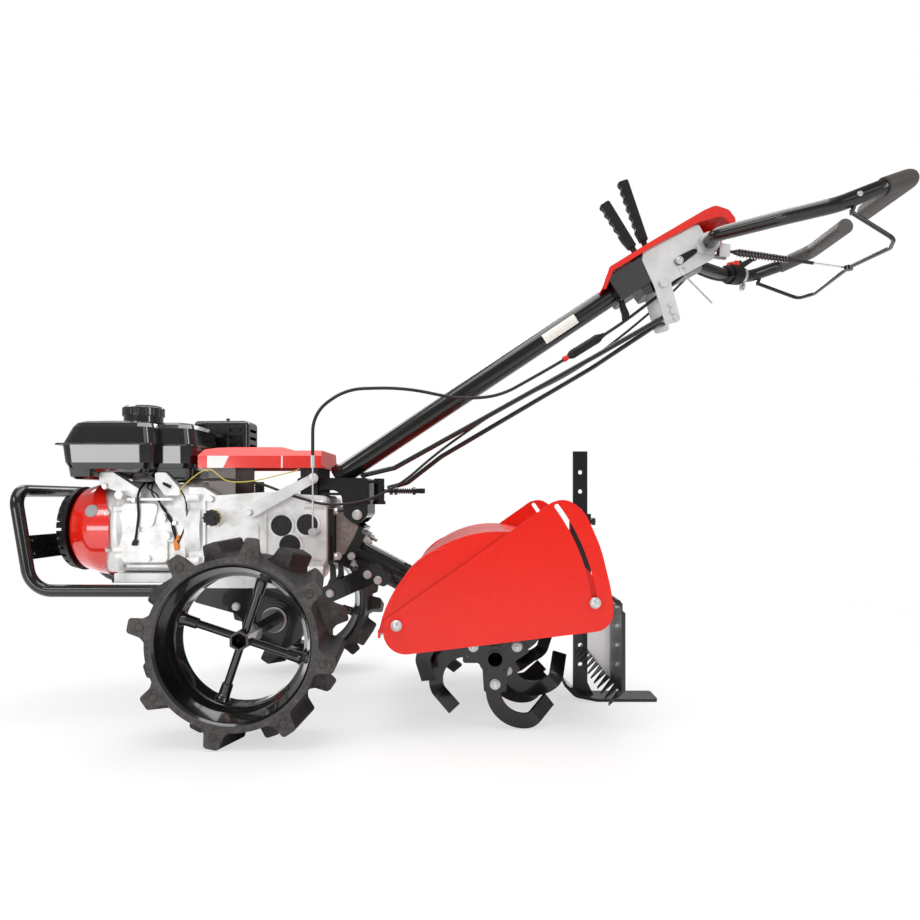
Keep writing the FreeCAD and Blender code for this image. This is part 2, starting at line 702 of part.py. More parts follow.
def make_column_bracket():
    """The folded bracket that carries the column: two cheeks, a top and a back, and the pivot post behind."""
    outer = plate(bracket_outline, -bracket_half, bracket_half, [6, 6, 12, 14, 12, 16, 6, 6])
    inner = plate([(-330, 455), (-189, 455), (-189, 330), (-330, 330)], -bracket_half + 5, bracket_half - 5)
    bore = disc(column_radius + 0.1, on_column(-60), column_way, 200)
    socket = disc(column_radius + 5, on_column(3), column_way, 14)
    floor = block(-290, -189.5, -bracket_half + 4, bracket_half - 4, 425, 430)
    shell = outer.cut(inner)
    shell = joined(shell, socket, floor).cut(disc(column_radius + 0.1, on_column(0), column_way, 200))
    post = disc(11, point(-168, 412), Z, 48)
    lugs = level_plate([(-190, -14), (-162, -11), (-162, 11), (-190, 14)], 415, 421, 4)
    top_lug = level_plate([(-190, -14), (-162, -11), (-162, 11), (-190, 14)], 450, 456, 4)
    bolts = disc(9, point(-205, 385, -bracket_half - 6), Y, 2 * bracket_half + 12)
    finger = rod([point(-158, 434), point(-80, 434)], 4)
    fork = block(-90, -72, -9, 9, 429, 439).cut(block(-84, -71, -5, 5, 428, 440))
    fork_pin = disc(3.5, point(-78, 434, -11), Y, 22)
    cap = disc(13.5, point(-168, 406), Z, 7)
    return joined(shell, post, lugs, top_lug, bolts, finger, fork, fork_pin, cap)


flange_way = (flange_high - flange_low).normalize()
flange_out = Vector(flange_way.z, 0, -flange_way.x)
link_half = 50.0               # inside of the boom's side links
link_foot = (-262.0, 225.0)
link_wide = 18.0               # half the width of a link


def make_hitch_plate():
    """The bolting plate on the gearbox's back, its gusset cheeks, the slanted flange and the lugs below."""
    face = cross_plate([(-70, 284), (70, 284), (70, 401), (-70, 401)], gearbox_back, gearbox_back + 11, 8)
    top, foot = flange_high, flange_low
    cheek = plate([(-254, 393), (-230, 393), (top.x, top.z), (foot.x, foot.z), (-254, 290)], -52, -47)
    corners = [foot, top, top + flange_out * flange_thick, foot + flange_out * flange_thick]
    flange = plate([(c.x, c.z) for c in corners], -56, 56)
    spacer = block(-256, -212, -46, 46, 336, 346)
    x, z = link_foot
    lug = plate([(gearbox_back, 300), (gearbox_back + 11, 300), (x + 13, z), (x, z - 13), (x - 13, z),
                 (gearbox_back, 256)], seat_gap - link_half, 6 - link_half, [0, 0, 8, 8, 8, 0])
    lug = lug.cut(disc(8.2, point(x, z, -80), Y, 160))
    return joined(face, cheek, mirrored(cheek), flange, spacer, lug, mirrored(lug))


save("steering_column", make_steering_column())
save("column_bracket", make_column_bracket())
hitch_plate = make_hitch_plate()
save("hitch_plate", hitch_plate)


# ---------------------------------------------------------------- boom, gearcase and tine rotor
rotor = point(rotor_x, rotor_z)
fall = math.radians(boom_slope)
boom_way = Vector(math.cos(fall), 0, -math.sin(fall))
boom_up = Vector(math.sin(fall), 0, math.cos(fall))
boom_start = flange_low + flange_way * boom_lift + flange_out * flange_thick


def on_boom(distance, lift=0.0, y=0.0):
    return boom_start + boom_way * distance + boom_up * lift + Y * y


neck_start = 262.0             # where the boom's tube meets the gearcase


def make_tine_boom():
    """The fluted drive housing that runs down to the gearcase, with its bolting flange and side lugs."""
    length = neck_start - 2
    tube = disc(boom_radius, on_boom(2), boom_way, length)
    flutes = []
    for number in range(8):
        turn = math.radians(45 * number + 22.5)
        off = boom_up * (boom_radius * math.cos(turn)) + Y * (boom_radius * math.sin(turn))
        flutes.append(disc(5, on_boom(104) + off, boom_way, length - 150))
    corners = [on_boom(0, -boom_lift), on_boom(0, 46), on_boom(10, 46), on_boom(10, -boom_lift)]
    pad = plate([(c.x, c.z) for c in corners], -52, 52)
    half = link_half - seat_gap
    lug = plate([(-208, 296), (-202, 262), (-150, 236), (-134, 262), (-160, 280)], -half, half,
                [0, 8, 10, 10, 0])
    return joined(tube.cut(Part.makeCompound(flutes)), pad, lug)


link_bolts = ((-184.0, 264.0), (-163.0, 253.0))


def make_boom_links():
    """The flat bars bolted along each side of the boom, down to the lugs behind the axle."""
    foot, head = point(*link_foot), point(-156, 272)
    along = (head - foot).normalize()
    across = Vector(-along.z, 0, along.x) * link_wide
    corners = [foot - along * link_wide - across, head + along * 8 - across, head + across,
               foot - along * link_wide + across]
    bar = plate([(c.x, c.z) for c in corners], -link_half - 6, -link_half, [16, 10, 10, 16])
    bolts = [disc(7, point(x, z, -link_half - 11), Y, 6) for x, z in (*link_bolts, link_foot)]
    strut = disc(8, point(*link_foot, -link_half - 3), Y, 2 * link_half + 6)
    bar = joined(bar, *bolts)
    return joined(bar, mirrored(bar), strut)


def make_tine_gearcase():
    """The cast worm case round the rotor shaft, split down the middle with a flange."""
    round_case = disc(54, rotor - Y * 30, Y, 60)
    neck = disc(38, on_boom(neck_start), boom_way, 46)
    seam = disc(60, rotor - Y * 4, Y, 8)
    caps = disc(27, rotor - Y * 38, Y, 76)
    crown = block(rotor_x - 26, rotor_x + 26, -22, 22, rotor_z + 40, rotor_z + 62)
    shape = joined(round_case, neck, seam, caps, crown)
    return shape.cut(disc(rotor_tube + running_gap, rotor - Y * 60, Y, 120))


def make_tine_shaft():
    tube = disc(rotor_tube, rotor - Y * rotor_half, Y, 2 * rotor_half)
    bores = [disc(rotor_bore, rotor + Y * (side * rotor_half), Y * -side, rotor_half - 60) for side in (-1, 1)]
    return tube.cut(bores[0]).cut(bores[1])


def make_tine(y, hand):
    """One hooked blade: out from its bolt, round the hook, and its tip bent across the machine."""
    def place(x, z, across=0.0):
        return Vector(rotor_x + x, y + across, rotor_z + z)

    path = [place(-3, -34), place(-3, -114), place(66, -114), place(100, -82, hand * tine_set)]
    half, thin = tine_width / 2, tine_thick / 2
    section = [path[0] + X * (half * across) + Y * (thin * through)
               for across, through in ((1, 1), (-1, 1), (-1, -1), (1, -1), (1, 1))]
    return rounded_wire(path, [56, 24]).makePipeShell([Part.makePolygon(section)], True, False)


def make_tines():
    """Three-armed flanges on the right half of the shaft, each arm a clamp of two plates on a hooked blade."""
    groups = []
    for station, phase in zip(tine_stations, tine_phases):
        face = station + arm_thick
        arms = [disc(30, rotor + Y * station, Y, arm_thick), disc(24, rotor + Y * face, Y, 4)]
        for number in range(3):
            wide = plate([(rotor_x - 20, rotor_z - 60), (rotor_x + 20, rotor_z - 60), (rotor_x + 24, rotor_z),
                          (rotor_x - 24, rotor_z)], station, face, [5, 5, 0, 0])
            clamp = plate([(rotor_x - 16, rotor_z - 58), (rotor_x + 16, rotor_z - 58),
                           (rotor_x + 18, rotor_z - 20), (rotor_x - 18, rotor_z - 20)],
                          face, face + 4, [4, 4, 0, 0])
            outward = number == 1 and station < tine_stations[-1]
            blade = make_tine(station - tine_thick / 2 + 0.1, 1 if outward else -1)
            for piece in (wide, clamp, blade):
                piece.rotate(rotor, Y, 120 * number)
                arms.append(piece)
        group = joined(*arms)
        group.rotate(rotor, -Y, phase)
        groups.append(group.cut(disc(rotor_tube, rotor, Y, rotor_half + 20)))
    return Part.makeCompound(groups)


tine_boom = make_tine_boom().cut(hitch_plate)
tine_gearcase = make_tine_gearcase()
save("tine_boom", tine_boom)
save("boom_links", make_boom_links())
save("tine_gearcase", tine_gearcase)
save("tine_shaft", make_tine_shaft())
tines = make_tines()
save("right_tines", tines)
save("left_tines", mirrored(tines))
print("tines reach down to", round(tines.BoundBox.ZMin, 2))


# ---------------------------------------------------------------- hood, side plates, rear board
def arch(inset, y):
    """The hood's arch in the side view, moved in towards the rotor by inset."""
    ends = [hood_front, hood_crown, hood_rear]
    curve = Part.Arc(*[point(x, z, y) for x, z in ends]).toShape().Curve
    centre, radius = curve.Center, curve.Radius
    places = [centre + (point(x, z, y) - centre).normalize() * (radius - inset) for x, z in ends]
    return Part.Arc(*places), places


def make_hood():
    """The fixed hood: an arched sheet with a wall down each side and a rolled lip along its ends."""
    outer, outer_ends = arch(0, -hood_half)
    inner, inner_ends = arch(sheet, -hood_half)
    edges = [outer.toShape(), Part.LineSegment(outer_ends[2], inner_ends[2]).toShape(), inner.toShape(),
             Part.LineSegment(inner_ends[0], outer_ends[0]).toShape()]
    roof = Part.Face(Part.Wire(Part.__sortEdges__(edges))).extrude(Y * (2 * hood_half))
    chord = Part.LineSegment(outer_ends[2], outer_ends[0]).toShape()
    wall = Part.Face(Part.Wire(Part.__sortEdges__([outer.toShape(), chord]))).extrude(Y * sheet)
    front_x, front_z = hood_front
    front_lip = block(front_x - 1, front_x + 3, -hood_half, hood_half, front_z - 8, front_z + 6)
    rear_lip = block(hood_rear[0] - 4, hood_rear[0] + 8, -hood_half, hood_half, hood_rear[1] - 3, hood_rear[1])
    hood = joined(roof, wall, mirrored(wall), front_lip, rear_lip)
    pins = []
    for side in (-1, 1):
        for x, z in (guard_pivot, guard_bolt):
            start = point(x, z, side * (hood_half - 1))
            pins.append(disc(guard_bolt_radius, start, Y * side, guard_gap + guard_thick + 5))
            pins.append(disc(8, point(x, z, side * (hood_half + guard_gap + guard_thick + 0.6)), Y * side, 5))
            pins.append(disc(8, start, Y * side, guard_gap + 0.7))
    boom_gap = disc(boom_radius + 1, on_boom(0), boom_way, neck_start)
    stake_slot = stake_wide / 2 + stake_gap
    bar_gap = block(stake_x - stake_slot, stake_x + stake_slot, -stake_thick, stake_thick, 200, 330)
    return joined(hood, *pins).cut(boom_gap).cut(bar_gap)


def make_side_plate():
    """A side plate with the arc slot that its rear bolt runs in."""
    near = hood_half + guard_gap
    outline = [(-130, 137), (278, 186), (275, 248), (255, 331), (225, 398), (192, 418), (168, 411), (-130, 201)]
    body = plate(outline, near, near + guard_thick, [40, 34, 240, 240, 68, 34, 36, 10])
    pivot = point(guard_pivot[0], guard_pivot[1])
    reach = math.hypot(guard_bolt[0] - guard_pivot[0], guard_bolt[1] - guard_pivot[1])
    start = math.degrees(math.atan2(guard_bolt[1] - guard_pivot[1], guard_bolt[0] - guard_pivot[0]))
    half = guard_bolt_radius + 0.5
    ends = (start, start + guard_drop)

    def place(radius, degrees):
        turn = math.radians(degrees)
        return pivot + Vector(radius * math.cos(turn), near - 1, radius * math.sin(turn))

    middle = sum(ends) / 2
    edges = [Part.Arc(place(reach + half, ends[0]), place(reach + half, middle), place(reach + half, ends[1])),
             Part.Arc(place(reach - half, ends[0]), place(reach - half, middle), place(reach - half, ends[1]))]
    caps = [Part.LineSegment(place(reach - half, end), place(reach + half, end)) for end in ends]
    loop = Part.Wire(Part.__sortEdges__([edge.toShape() for edge in edges + caps]))
    slot = Part.Face(loop).extrude(Y * (guard_thick + 2))
    holes = [disc(half, place(reach, end), Y, guard_thick + 2) for end in ends]
    pin_hole = disc(guard_bolt_radius + running_gap, pivot + Y * (near - 1), Y, guard_thick + 2)
    return body.cut(slot).cut(holes[0]).cut(holes[1]).cut(pin_hole)


def make_rear_board():
    """The hinged board behind the rotor, with its hinge sleeve and the comb of teeth along the bottom."""
    x, z = board_hinge
    front = x + 6
    board = block(front, front + sheet, -board_half, board_half, board_low_z, z - 2)
    wing = plate([(front, board_low_z), (front, z - 12), (front + 7, z - 18), (front + 7, board_low_z + 6)],
                 -board_half, -board_half + sheet)
    sleeves = [disc(5.5, Vector(x, y, z), Y, 60) for y in (-board_half, -30 - 130, 100, board_half - 60)]
    leaves = [block(x + 2, front + sheet, y, y + 60, z - 5, z - 1)
              for y in (-board_half, -160, 100, board_half - 60)]
    teeth = []
    pitch = 2 * board_half / comb_teeth
    for number in range(comb_teeth):
        y = -board_half + pitch * number
        root, tip = point(front + sheet, board_low_z, y), point(front - 20, board_low_z - 25, y)
        corners = [root, root + Y * (pitch - 8), tip + Y * (pitch / 2), tip + Y * (pitch / 2 - 6), root]
        tooth = Part.Face(Part.makePolygon(corners)).extrude(Vector(0, 0, 3))
        teeth.append(tooth)
    shape = joined(board, wing, mirrored(wing), *sleeves, *leaves, *teeth)
    return shape.cut(disc(3 + running_gap, Vector(x, -300, z), Y, 600))


def make_board_hinge():
    """The hinge rod and its eyes under the hood's back edge."""
    x, z = board_hinge
    pin = disc(3, Vector(x, -board_half - 2, z), Y, 2 * board_half + 4)
    eyes = []
    for y in (-178, -90, 60, 165):
        eyes.append(disc(5, Vector(x, y, z), Y, 12))
        eyes.append(block(hood_rear[0] + 4, x + 2, y, y + 12, z - 1, z + 1))
        eyes.append(block(hood_rear[0] + 4, hood_rear[0] + 8, y, y + 12, z - 1, hood_rear[1] - 3))
    return joined(pin, *eyes)


# ---------------------------------------------------------------- depth stake
def make_depth_skid():
    """The flat stake with its row of holes, welded to a turned-up foot."""
    half, thick = stake_wide / 2, stake_thick / 2
    bar = block(stake_x - half, stake_x + half, -thick, thick, 10, stake_top_z)
    holes = [disc(4.5, point(stake_x, stake_hole_z - stake_pitch * number, -10), Y, 20) for number in range(11)]
    heel = stake_x + half + 16
    sole = level_plate([(heel, -35), (skid_back, -35), (skid_back, 35), (heel, 35)], 0, 6, [0, 7, 7, 0])
    toe = plate([(heel, 0), (stake_x - half, 9), (stake_x - half - 22, 32), (stake_x - half - 17, 36),
                 (stake_x - half + 6, 15), (heel, 6)], -35, 35, [0, 26, 0, 0, 20, 0])
    rib = plate([(stake_x + half - 1, 8), (stake_x + half + 14, 4), (stake_x + half - 1, 36)], -3, 3)
    return joined(bar.cut(Part.makeCompound(holes)), sole, toe, rib)


def make_stake_bracket():
    """The channel that guides the stake, its clamp screws, and the arm that runs back from the gearcase."""
    gap = stake_gap
    half, thick = stake_wide / 2 + gap, stake_thick / 2 + gap
    outer = block(stake_x - half - 6, stake_x + half + 6, -thick - 6, thick + 6, 232, 386)
    channel = outer.cut(block(stake_x - half, stake_x + half, -thick, thick, 200, 400))
    screws = []
    for z in (286, 370):
        screws.append(disc(5, point(stake_x + half, z), X, 14))
        screws.append(disc(8, point(stake_x + half + 9, z), X, 7))
    seat = rotor_z + 62 + seat_gap
    arm = plate([(stake_x - half - 5.5, 296), (stake_x - half - 5.5, 250), (rotor_x + 20, seat),
                 (rotor_x - 24, seat),
                 (rotor_x - 24, seat + 24)], -6, 6, [0, 30, 0, 0, 30])
    rest = block(rotor_x - 26, rotor_x + 26, -22, 22, seat, seat + 8)
    brace = plate([(stake_x - half - 5.5, 340), (stake_x - half - 5.5, 296), (stake_x - 52, 286)], -4, 4)
    return joined(channel, arm, rest, brace, *screws)


stake_bracket = make_stake_bracket().cut(tine_gearcase).cut(tine_boom)
save("stake_bracket", stake_bracket)
save("hood", make_hood().cut(stake_bracket))
side_plate = make_side_plate()
save("right_side_plate", side_plate)
save("left_side_plate", mirrored(side_plate))
save("rear_board", make_rear_board())
save("board_hinge", make_board_hinge())
save("depth_skid", make_depth_skid())


# ---------------------------------------------------------------- console and controls
def make_console():
    """Two steel side plates with the drop strap that holds the shift rods, tied across by bolts."""
    outline = by_bars((-134, -18), (-23, 39), (15, -30), (-79, -80), (-58, -160), (-90, -168), (-112, -92),
                      (-138, -36))
    near = console_half - console_sheet
    cheek = plate(outline, near, console_half, [4, 8, 12, 6, 8, 6, 20, 8])
    hole = disc(bar_radius + 0.2, point(bar_axis[0], bar_axis[1], 0), Y, 80)
    collar = disc(bar_radius + 7, point(bar_axis[0], bar_axis[1], near), Y, console_sheet + 5)
    cheek = joined(cheek, collar).cut(hole)
    upper, lower = by_bars((-20, -13.5), (-94, -84))
    places = ((*upper, 5, console_half + 9), (*lower, 5, console_half + 5),
              (*strap_bolt, 6, console_half + 5))
    bolts = [disc(radius, point(x, z, -half), Y, 2 * half) for x, z, radius, half in places]
    return joined(cheek, mirrored(cheek), *bolts)


cover_half = 56.0
cover_wall = 3.5


def make_column_clamp():
    """The block at the top of the column, clamped between the console's side plates."""
    start, end = on_column(column_length - 118), on_column(column_length + 18)
    lift = column_up * clamp_lift
    corners = [start + lift, end + lift, end - lift, start - lift]
    body = plate([(c.x, c.z) for c in corners], -console_half + console_sheet, console_half - console_sheet, 5)
    drop = plate(by_bars((-170, -46), (-126, -22), (-103, -96), (-128, -106)), -36, 36, 4)
    return joined(body, drop).cut(disc(column_radius + 0.1, on_column(column_length - 200), column_way, 300))


def make_console_cover():
    """The red moulded cover: a shallow lid over the column's end that rises to a hollow hump at the back."""
    side = by_bars((-222, -98), (-206, -53), (-118, 1), (-14, 62), (9, 72), (36, 63), (49, 46), (51, 19),
                   (33, 2), (29, 9), (37, 38), (22, 50), (-24, 38), (-118, -11), (-199, -61), (-213, -98))
    shell = plate(side, -cover_half, cover_half, [2, 8, 20, 26, 18, 14, 10, 6, 3, 2, 8, 10, 12, 10, 3, 2])
    inside = by_bars((-225, -116), (-202, -55.5), (-116, -2.5), (-12.5, 58), (9, 67.5), (34, 59.5), (45, 44),
                     (46, 0), (-112, -141))
    hollow = plate(inside, cover_wall - cover_half, cover_half - cover_wall, [0, 6, 18, 24, 16, 12, 8, 0, 0])
    cuts = [hollow, disc(column_radius + seat_gap, on_column(column_length - 300), column_way, 300),
            block(bar_axis[0] + 20, bar_axis[0] + 60, -32, 32, bar_axis[1] - 20, bar_axis[1] + 31)]
    for back, y in ((-168, -22), (-137, 14)):
        front = bar_axis[0] + back
        cuts.append(block(front, front + 46, y - 14, y + 14, bar_axis[1] - 61, bar_axis[1] + 69))
    return shell.cut(cuts)


lever_tops = by_bars((-212.4, 88.0), (-167.0, 149.0))
lever_places = ((lever_tops[0], -22.0, column_length - 35.4), (lever_tops[1], 14.0, column_length))
clamp_lift = 27.0


grip_half = 11.5               # half the width of a lever's grip
notch_radius = 9.0
notch_depth = 3.2


def make_gear_levers():
    """The two change levers: stems in hubs on the column clamp, with flat grips notched for the fingers."""
    levers = []
    for (high_x, high_z), y, distance in lever_places:
        low = on_column(distance, clamp_lift + 9 + seat_gap, y)
        high = point(high_x, high_z, y)
        way = (high - low).normalize()
        across = Vector(way.z, 0, -way.x)
        length = (high - low).Length
        hub = disc(9, low - Y * 6, Y, 12)
        stem = rod([low, low + way * (length * 0.14 + 12)], 6)
        foot = low + way * (length * 0.14)
        corners = [foot - across * 8, foot + way * 22 - across * grip_half, high - across * grip_half,
                   high + across * grip_half, foot + across * 9]
        grip = plate([(c.x, c.z) for c in corners], y - 8, y + 8, [3, 10, 5, 5, 3])
        rims = [edge for edge in grip.Edges if abs(edge.tangentAt(edge.FirstParameter).y) < 0.1]
        grip = grip.makeFillet(2.5, rims)
        notches = []
        for number in range(int((length - 46) / 18)):
            spot = high - way * (14 + 18 * number) - across * (grip_half + notch_radius - notch_depth)
            notches.append(disc(notch_radius, spot - Y * 20, Y, 40))
        levers.append(joined(hub, stem, grip.cut(notches)))
    return Part.makeCompound(levers)


strap_bolt = by_bars((-75, -141))[0]


def make_shift_rods():
    """The two long rods from the console's strap down to the lugs at the foot of the column."""
    top = point(strap_bolt[0], strap_bolt[1])
    upper = [top + Y * -34, top + Vector(-154, -34, -88), point(-132, 481, -34), point(-196, 466, -34)]
    lower = [top + Y * 34, top + Vector(-154, 34, -102), point(-39, 508, 34), point(-110, 452, 20),
             point(-151, 440, 8)]
    rods = []
    for path, bends in ((upper, [30, 20]), (lower, [30, 40, 20])):
        body = joined(rod(path, 5, bends), disc(10, path[0] - Y * 4, Y, 8))
        rods.append(body.cut(disc(6.1, path[0] - Y * 20, Y, 40)))
    rods[0] = joined(rods[0], disc(5.7, point(-196, 460 + 5.7 + seat_gap, -40), Y, 12))
    return Part.makeCompound(rods)


save("console", make_console())
save("column_clamp", make_column_clamp())
save("console_cover", make_console_cover())
save("gear_levers", make_gear_levers())
save("shift_rods", make_shift_rods())


# ---------------------------------------------------------------- handlebars
def bar_half(side):
    stations = ((0, 0, 0), (0, 92, 0), (96, 176, 2), (178, 222, 9), (255, 232, 37), (320, 212, 64),
                (320, 45, 64))
    return [Vector(bar_axis[0] + back, side * y, bar_axis[1] + up) for back, y, up in stations]


bar_bends = [26, 70, 70, 90, 30]
bars = Vector(bar_axis[0], 0, bar_axis[1])
bail_cable_start, bail_cable_end = bars + Vector(34, 0, -1), bars + Vector(296, 0, -37)
bail_cable_way = (bail_cable_end - bail_cable_start).normalize()


def make_handlebar():
    """One bent tube from grip to grip through the console, with the tab that anchors the clutch cable."""
    halves = [rod(bar_half(side), bar_radius, bar_bends) for side in (-1, 1)]
    strip = block(bars.x + 2, bars.x + 51, -9, 9, bars.z - 16, bars.z - 12)
    upright = block(bars.x + 48, bars.x + 51, -9, 9, bars.z - 16, bars.z + 7)
    upright = upright.cut(disc(3.1, bail_cable_start, bail_cable_way, 60))
    return joined(*halves, strip, upright)


def make_grip(side):
    """The rubber sleeve round the bent end of one bar, a little longer than the bar."""
    points = bar_half(side)[4:]
    sleeve = rod([points[0], points[1], points[2] - Y * (side * 4)], bar_radius + grip_wall, [30])
    return sleeve.cut(rod(bar_half(side), bar_radius, bar_bends))


def make_clutch_bail():
    """The wire bail under the grips, with the eye for its cable at the middle of the cross run."""
    def half(side):
        stations = ((200, 226, -7), (288, 206, -48), (306, 160, -49), (306, 20, -39), (306, 0, -38))
        return [bars + Vector(back, side * y, up) for back, y, up in stations]

    wires = [rod(half(side), 4, [24, 22, 20]) for side in (-1, 1)]
    clips = []
    for side in (-1, 1):
        pivot = half(side)[0]
        clips.append(rod([pivot, pivot + Vector(10, side * 2, 28)], 4))
        clips.append(disc(4, pivot - Z * 4, Z, 8))
    eye = disc(9, half(1)[-1] - Z * 5, Z, 9)
    return joined(*wires, *clips, eye)


save("handlebar", make_handlebar())
save("left_grip", make_grip(-1))
save("right_grip", make_grip(1))
save("clutch_bail", make_clutch_bail().cut(make_handlebar()))


# ---------------------------------------------------------------- throttle control and cables
throttle_start = bars + Vector(88, 172, 2)
throttle_way = Vector(82, 46, 7).normalize()


def make_throttle_control():
    """The clamp on the right bar with its switch body and thumb lever."""
    clamp = disc(bar_radius + 5, throttle_start + throttle_way * 22, throttle_way, 14)
    body = disc(bar_radius + 9, throttle_start + throttle_way * 36, throttle_way, 30)
    up = Z * 22
    lever = rod([throttle_start + throttle_way * 46 + up, throttle_start + throttle_way * 74 + up + Z * 10], 4)
    shape = joined(clamp, body, lever, disc(7, throttle_start + throttle_way * 46 + Z * 12, Z, 16))
    return shape.cut(rod(bar_half(1), bar_radius + 0.1, bar_bends)).cut(bar_throttle_cable)


def make_bail_cable():
    """The rear end of the clutch cable: spring boot, sleeve and bare wire to the bail's eye."""
    start, end, way = bail_cable_start, bail_cable_end, bail_cable_way
    boot = turned([(0, 0), (0, 4), (12, 7), (116, 5.5), (130, 3.5), (130, 0)], start + way * 30, way)
    housing = disc(3, start, way, 34)
    sleeve = disc(3.5, start + way * 150, way, 50)
    wire = disc(1.5, start, way, (end - start).Length)
    return joined(boot, housing, sleeve, wire)


clutch_route = [Vector(-284, -113, 502.5), Vector(-284, -112, 585), Vector(-222, -98, 634),
                Vector(-110, -78, 640), Vector(0, -54, 620), Vector(84, -36, 628), Vector(218, -30, 704),
                Vector(334, -24, 778),
                Vector(404, -14, 832), Vector(468, -10, 884), Vector(496, -10, 914)]
throttle_route = [Vector(500, 60, 905), Vector(452, 60, 856), Vector(372, 44, 786), Vector(250, 16, 690),
                  Vector(84, -22, 604), Vector(-40, -34, 516), Vector(-118, -56, 446), Vector(-190, -80, 410),
                  Vector(-262, -99, 404), Vector(-330, -99, 424), Vector(-396, -86, 450),
                  Vector(-466, -88, 457), Vector(-514, -86, 455), Vector(-550, -50, 452.5),
                  Vector(-604, -44, 452.5),
                  Vector(-640, -30, 450)]
bar_throttle_route = [Vector(639.6, 175.7, 936.8), Vector(592, 126, 912), Vector(552, 84, 906),
                      Vector(520, 62, 910)]


def largest_bends(route):
    """The bend radius at each inner point: 0.45 of the shorter run over the tangent of half the turn."""
    radii = []
    for before, here, after in zip(route, route[1:], route[2:]):
        shorter = min((here - before).Length, (after - here).Length)
        turn = (here - before).getAngle(after - here)
        radii.append(0.45 * shorter / math.tan(turn / 2))
    return radii


def make_cable(name, route, radius):
    bends = largest_bends(route)
    print(name, "bends", [round(bend) for bend in bends])
    return rod(route, radius, bends)


bar_throttle_cable = make_cable("bar_throttle_cable", bar_throttle_route, 2.6)
save("bar_throttle_cable", bar_throttle_cable)
save("throttle_control", make_throttle_control())
save("bail_cable", make_bail_cable())
save("clutch_cable", make_cable("clutch_cable", clutch_route, 3.2))
save("throttle_cable", make_cable("throttle_cable", throttle_route, 2.6))
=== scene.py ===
"""The looks of a walk-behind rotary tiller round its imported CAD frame: finishes, small parts, light and camera."""
import json
import math

import bmesh
import bpy
import numpy as np
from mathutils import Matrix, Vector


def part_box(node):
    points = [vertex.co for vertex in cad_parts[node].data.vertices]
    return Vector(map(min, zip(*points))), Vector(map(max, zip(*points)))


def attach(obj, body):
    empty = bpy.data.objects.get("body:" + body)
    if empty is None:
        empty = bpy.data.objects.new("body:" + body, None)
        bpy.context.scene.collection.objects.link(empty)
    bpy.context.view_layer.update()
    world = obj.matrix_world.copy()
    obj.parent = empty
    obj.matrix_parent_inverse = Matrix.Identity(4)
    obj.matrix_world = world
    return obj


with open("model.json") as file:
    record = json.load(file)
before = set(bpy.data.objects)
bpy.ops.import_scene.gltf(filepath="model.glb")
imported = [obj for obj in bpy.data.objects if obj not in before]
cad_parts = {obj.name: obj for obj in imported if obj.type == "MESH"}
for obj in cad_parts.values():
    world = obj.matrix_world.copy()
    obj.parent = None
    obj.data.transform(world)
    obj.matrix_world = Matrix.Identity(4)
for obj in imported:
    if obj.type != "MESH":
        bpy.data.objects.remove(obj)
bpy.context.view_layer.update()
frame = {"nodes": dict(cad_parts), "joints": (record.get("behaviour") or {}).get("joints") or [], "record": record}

TAU = 2 * math.pi
MM = 0.001
WHITE = (1.0, 1.0, 1.0)
MIX_SOCKETS = (0, 6, 7)         # a colour Mix node's factor and its two colours


# ---------------------------------------------------------------- shader maths
class Value:
    """A number that varies over a surface; arithmetic on it adds Math nodes."""

    def __init__(self, nodes, socket):
        self.nodes, self.socket = nodes, socket

    def _math(self, operation, *inputs):
        node = self.nodes.node("ShaderNodeMath", {"operation": operation}, *inputs)
        return Value(self.nodes, node.outputs[0])

    def __add__(self, other):
        return self._math("ADD", self, other)

    def __sub__(self, other):
        return self._math("SUBTRACT", self, other)

    def __rsub__(self, other):
        return self._math("SUBTRACT", other, self)

    def __mul__(self, other):
        return self._math("MULTIPLY", self, other)

    def __pow__(self, other):
        return self._math("POWER", self, other)

    __radd__, __rmul__ = __add__, __mul__

    def at_least(self, other):
        return self._math("MAXIMUM", self, other)

    def at_most(self, other):
        return self._math("MINIMUM", self, other)

    def wave(self):
        return self._math("SINE", self)

    def over(self, edge, soft):
        """0 below the edge and 1 above it, with a straight step as wide as soft between."""
        ramp = (self - (edge - soft / 2)) * (1 / soft)
        return ramp.at_least(0.0).at_most(1.0)


class Nodes:
    """A tree of shader nodes, to which every node is added by one method."""

    def __init__(self, tree):
        self.tree = tree

    def feed(self, socket, value):
        """Links a varying value to a socket, or writes a constant one; a colour's three numbers become opaque."""
        source = getattr(value, "socket", value)
        if isinstance(source, bpy.types.NodeSocket):
            self.tree.links.new(source, socket)
        else:
            socket.default_value = (*source, 1.0) if socket.type == "RGBA" else source

    def node(self, kind, settings, *inputs, **named):
        """Adds a node: its settings first, then the values or links of its sockets."""
        made = self.tree.nodes.new(kind)
        for setting, value in settings.items():
            setattr(made, setting, value)
        for key, value in [*enumerate(inputs), *named.items()]:
            self.feed(made.inputs[key], value)
        return made


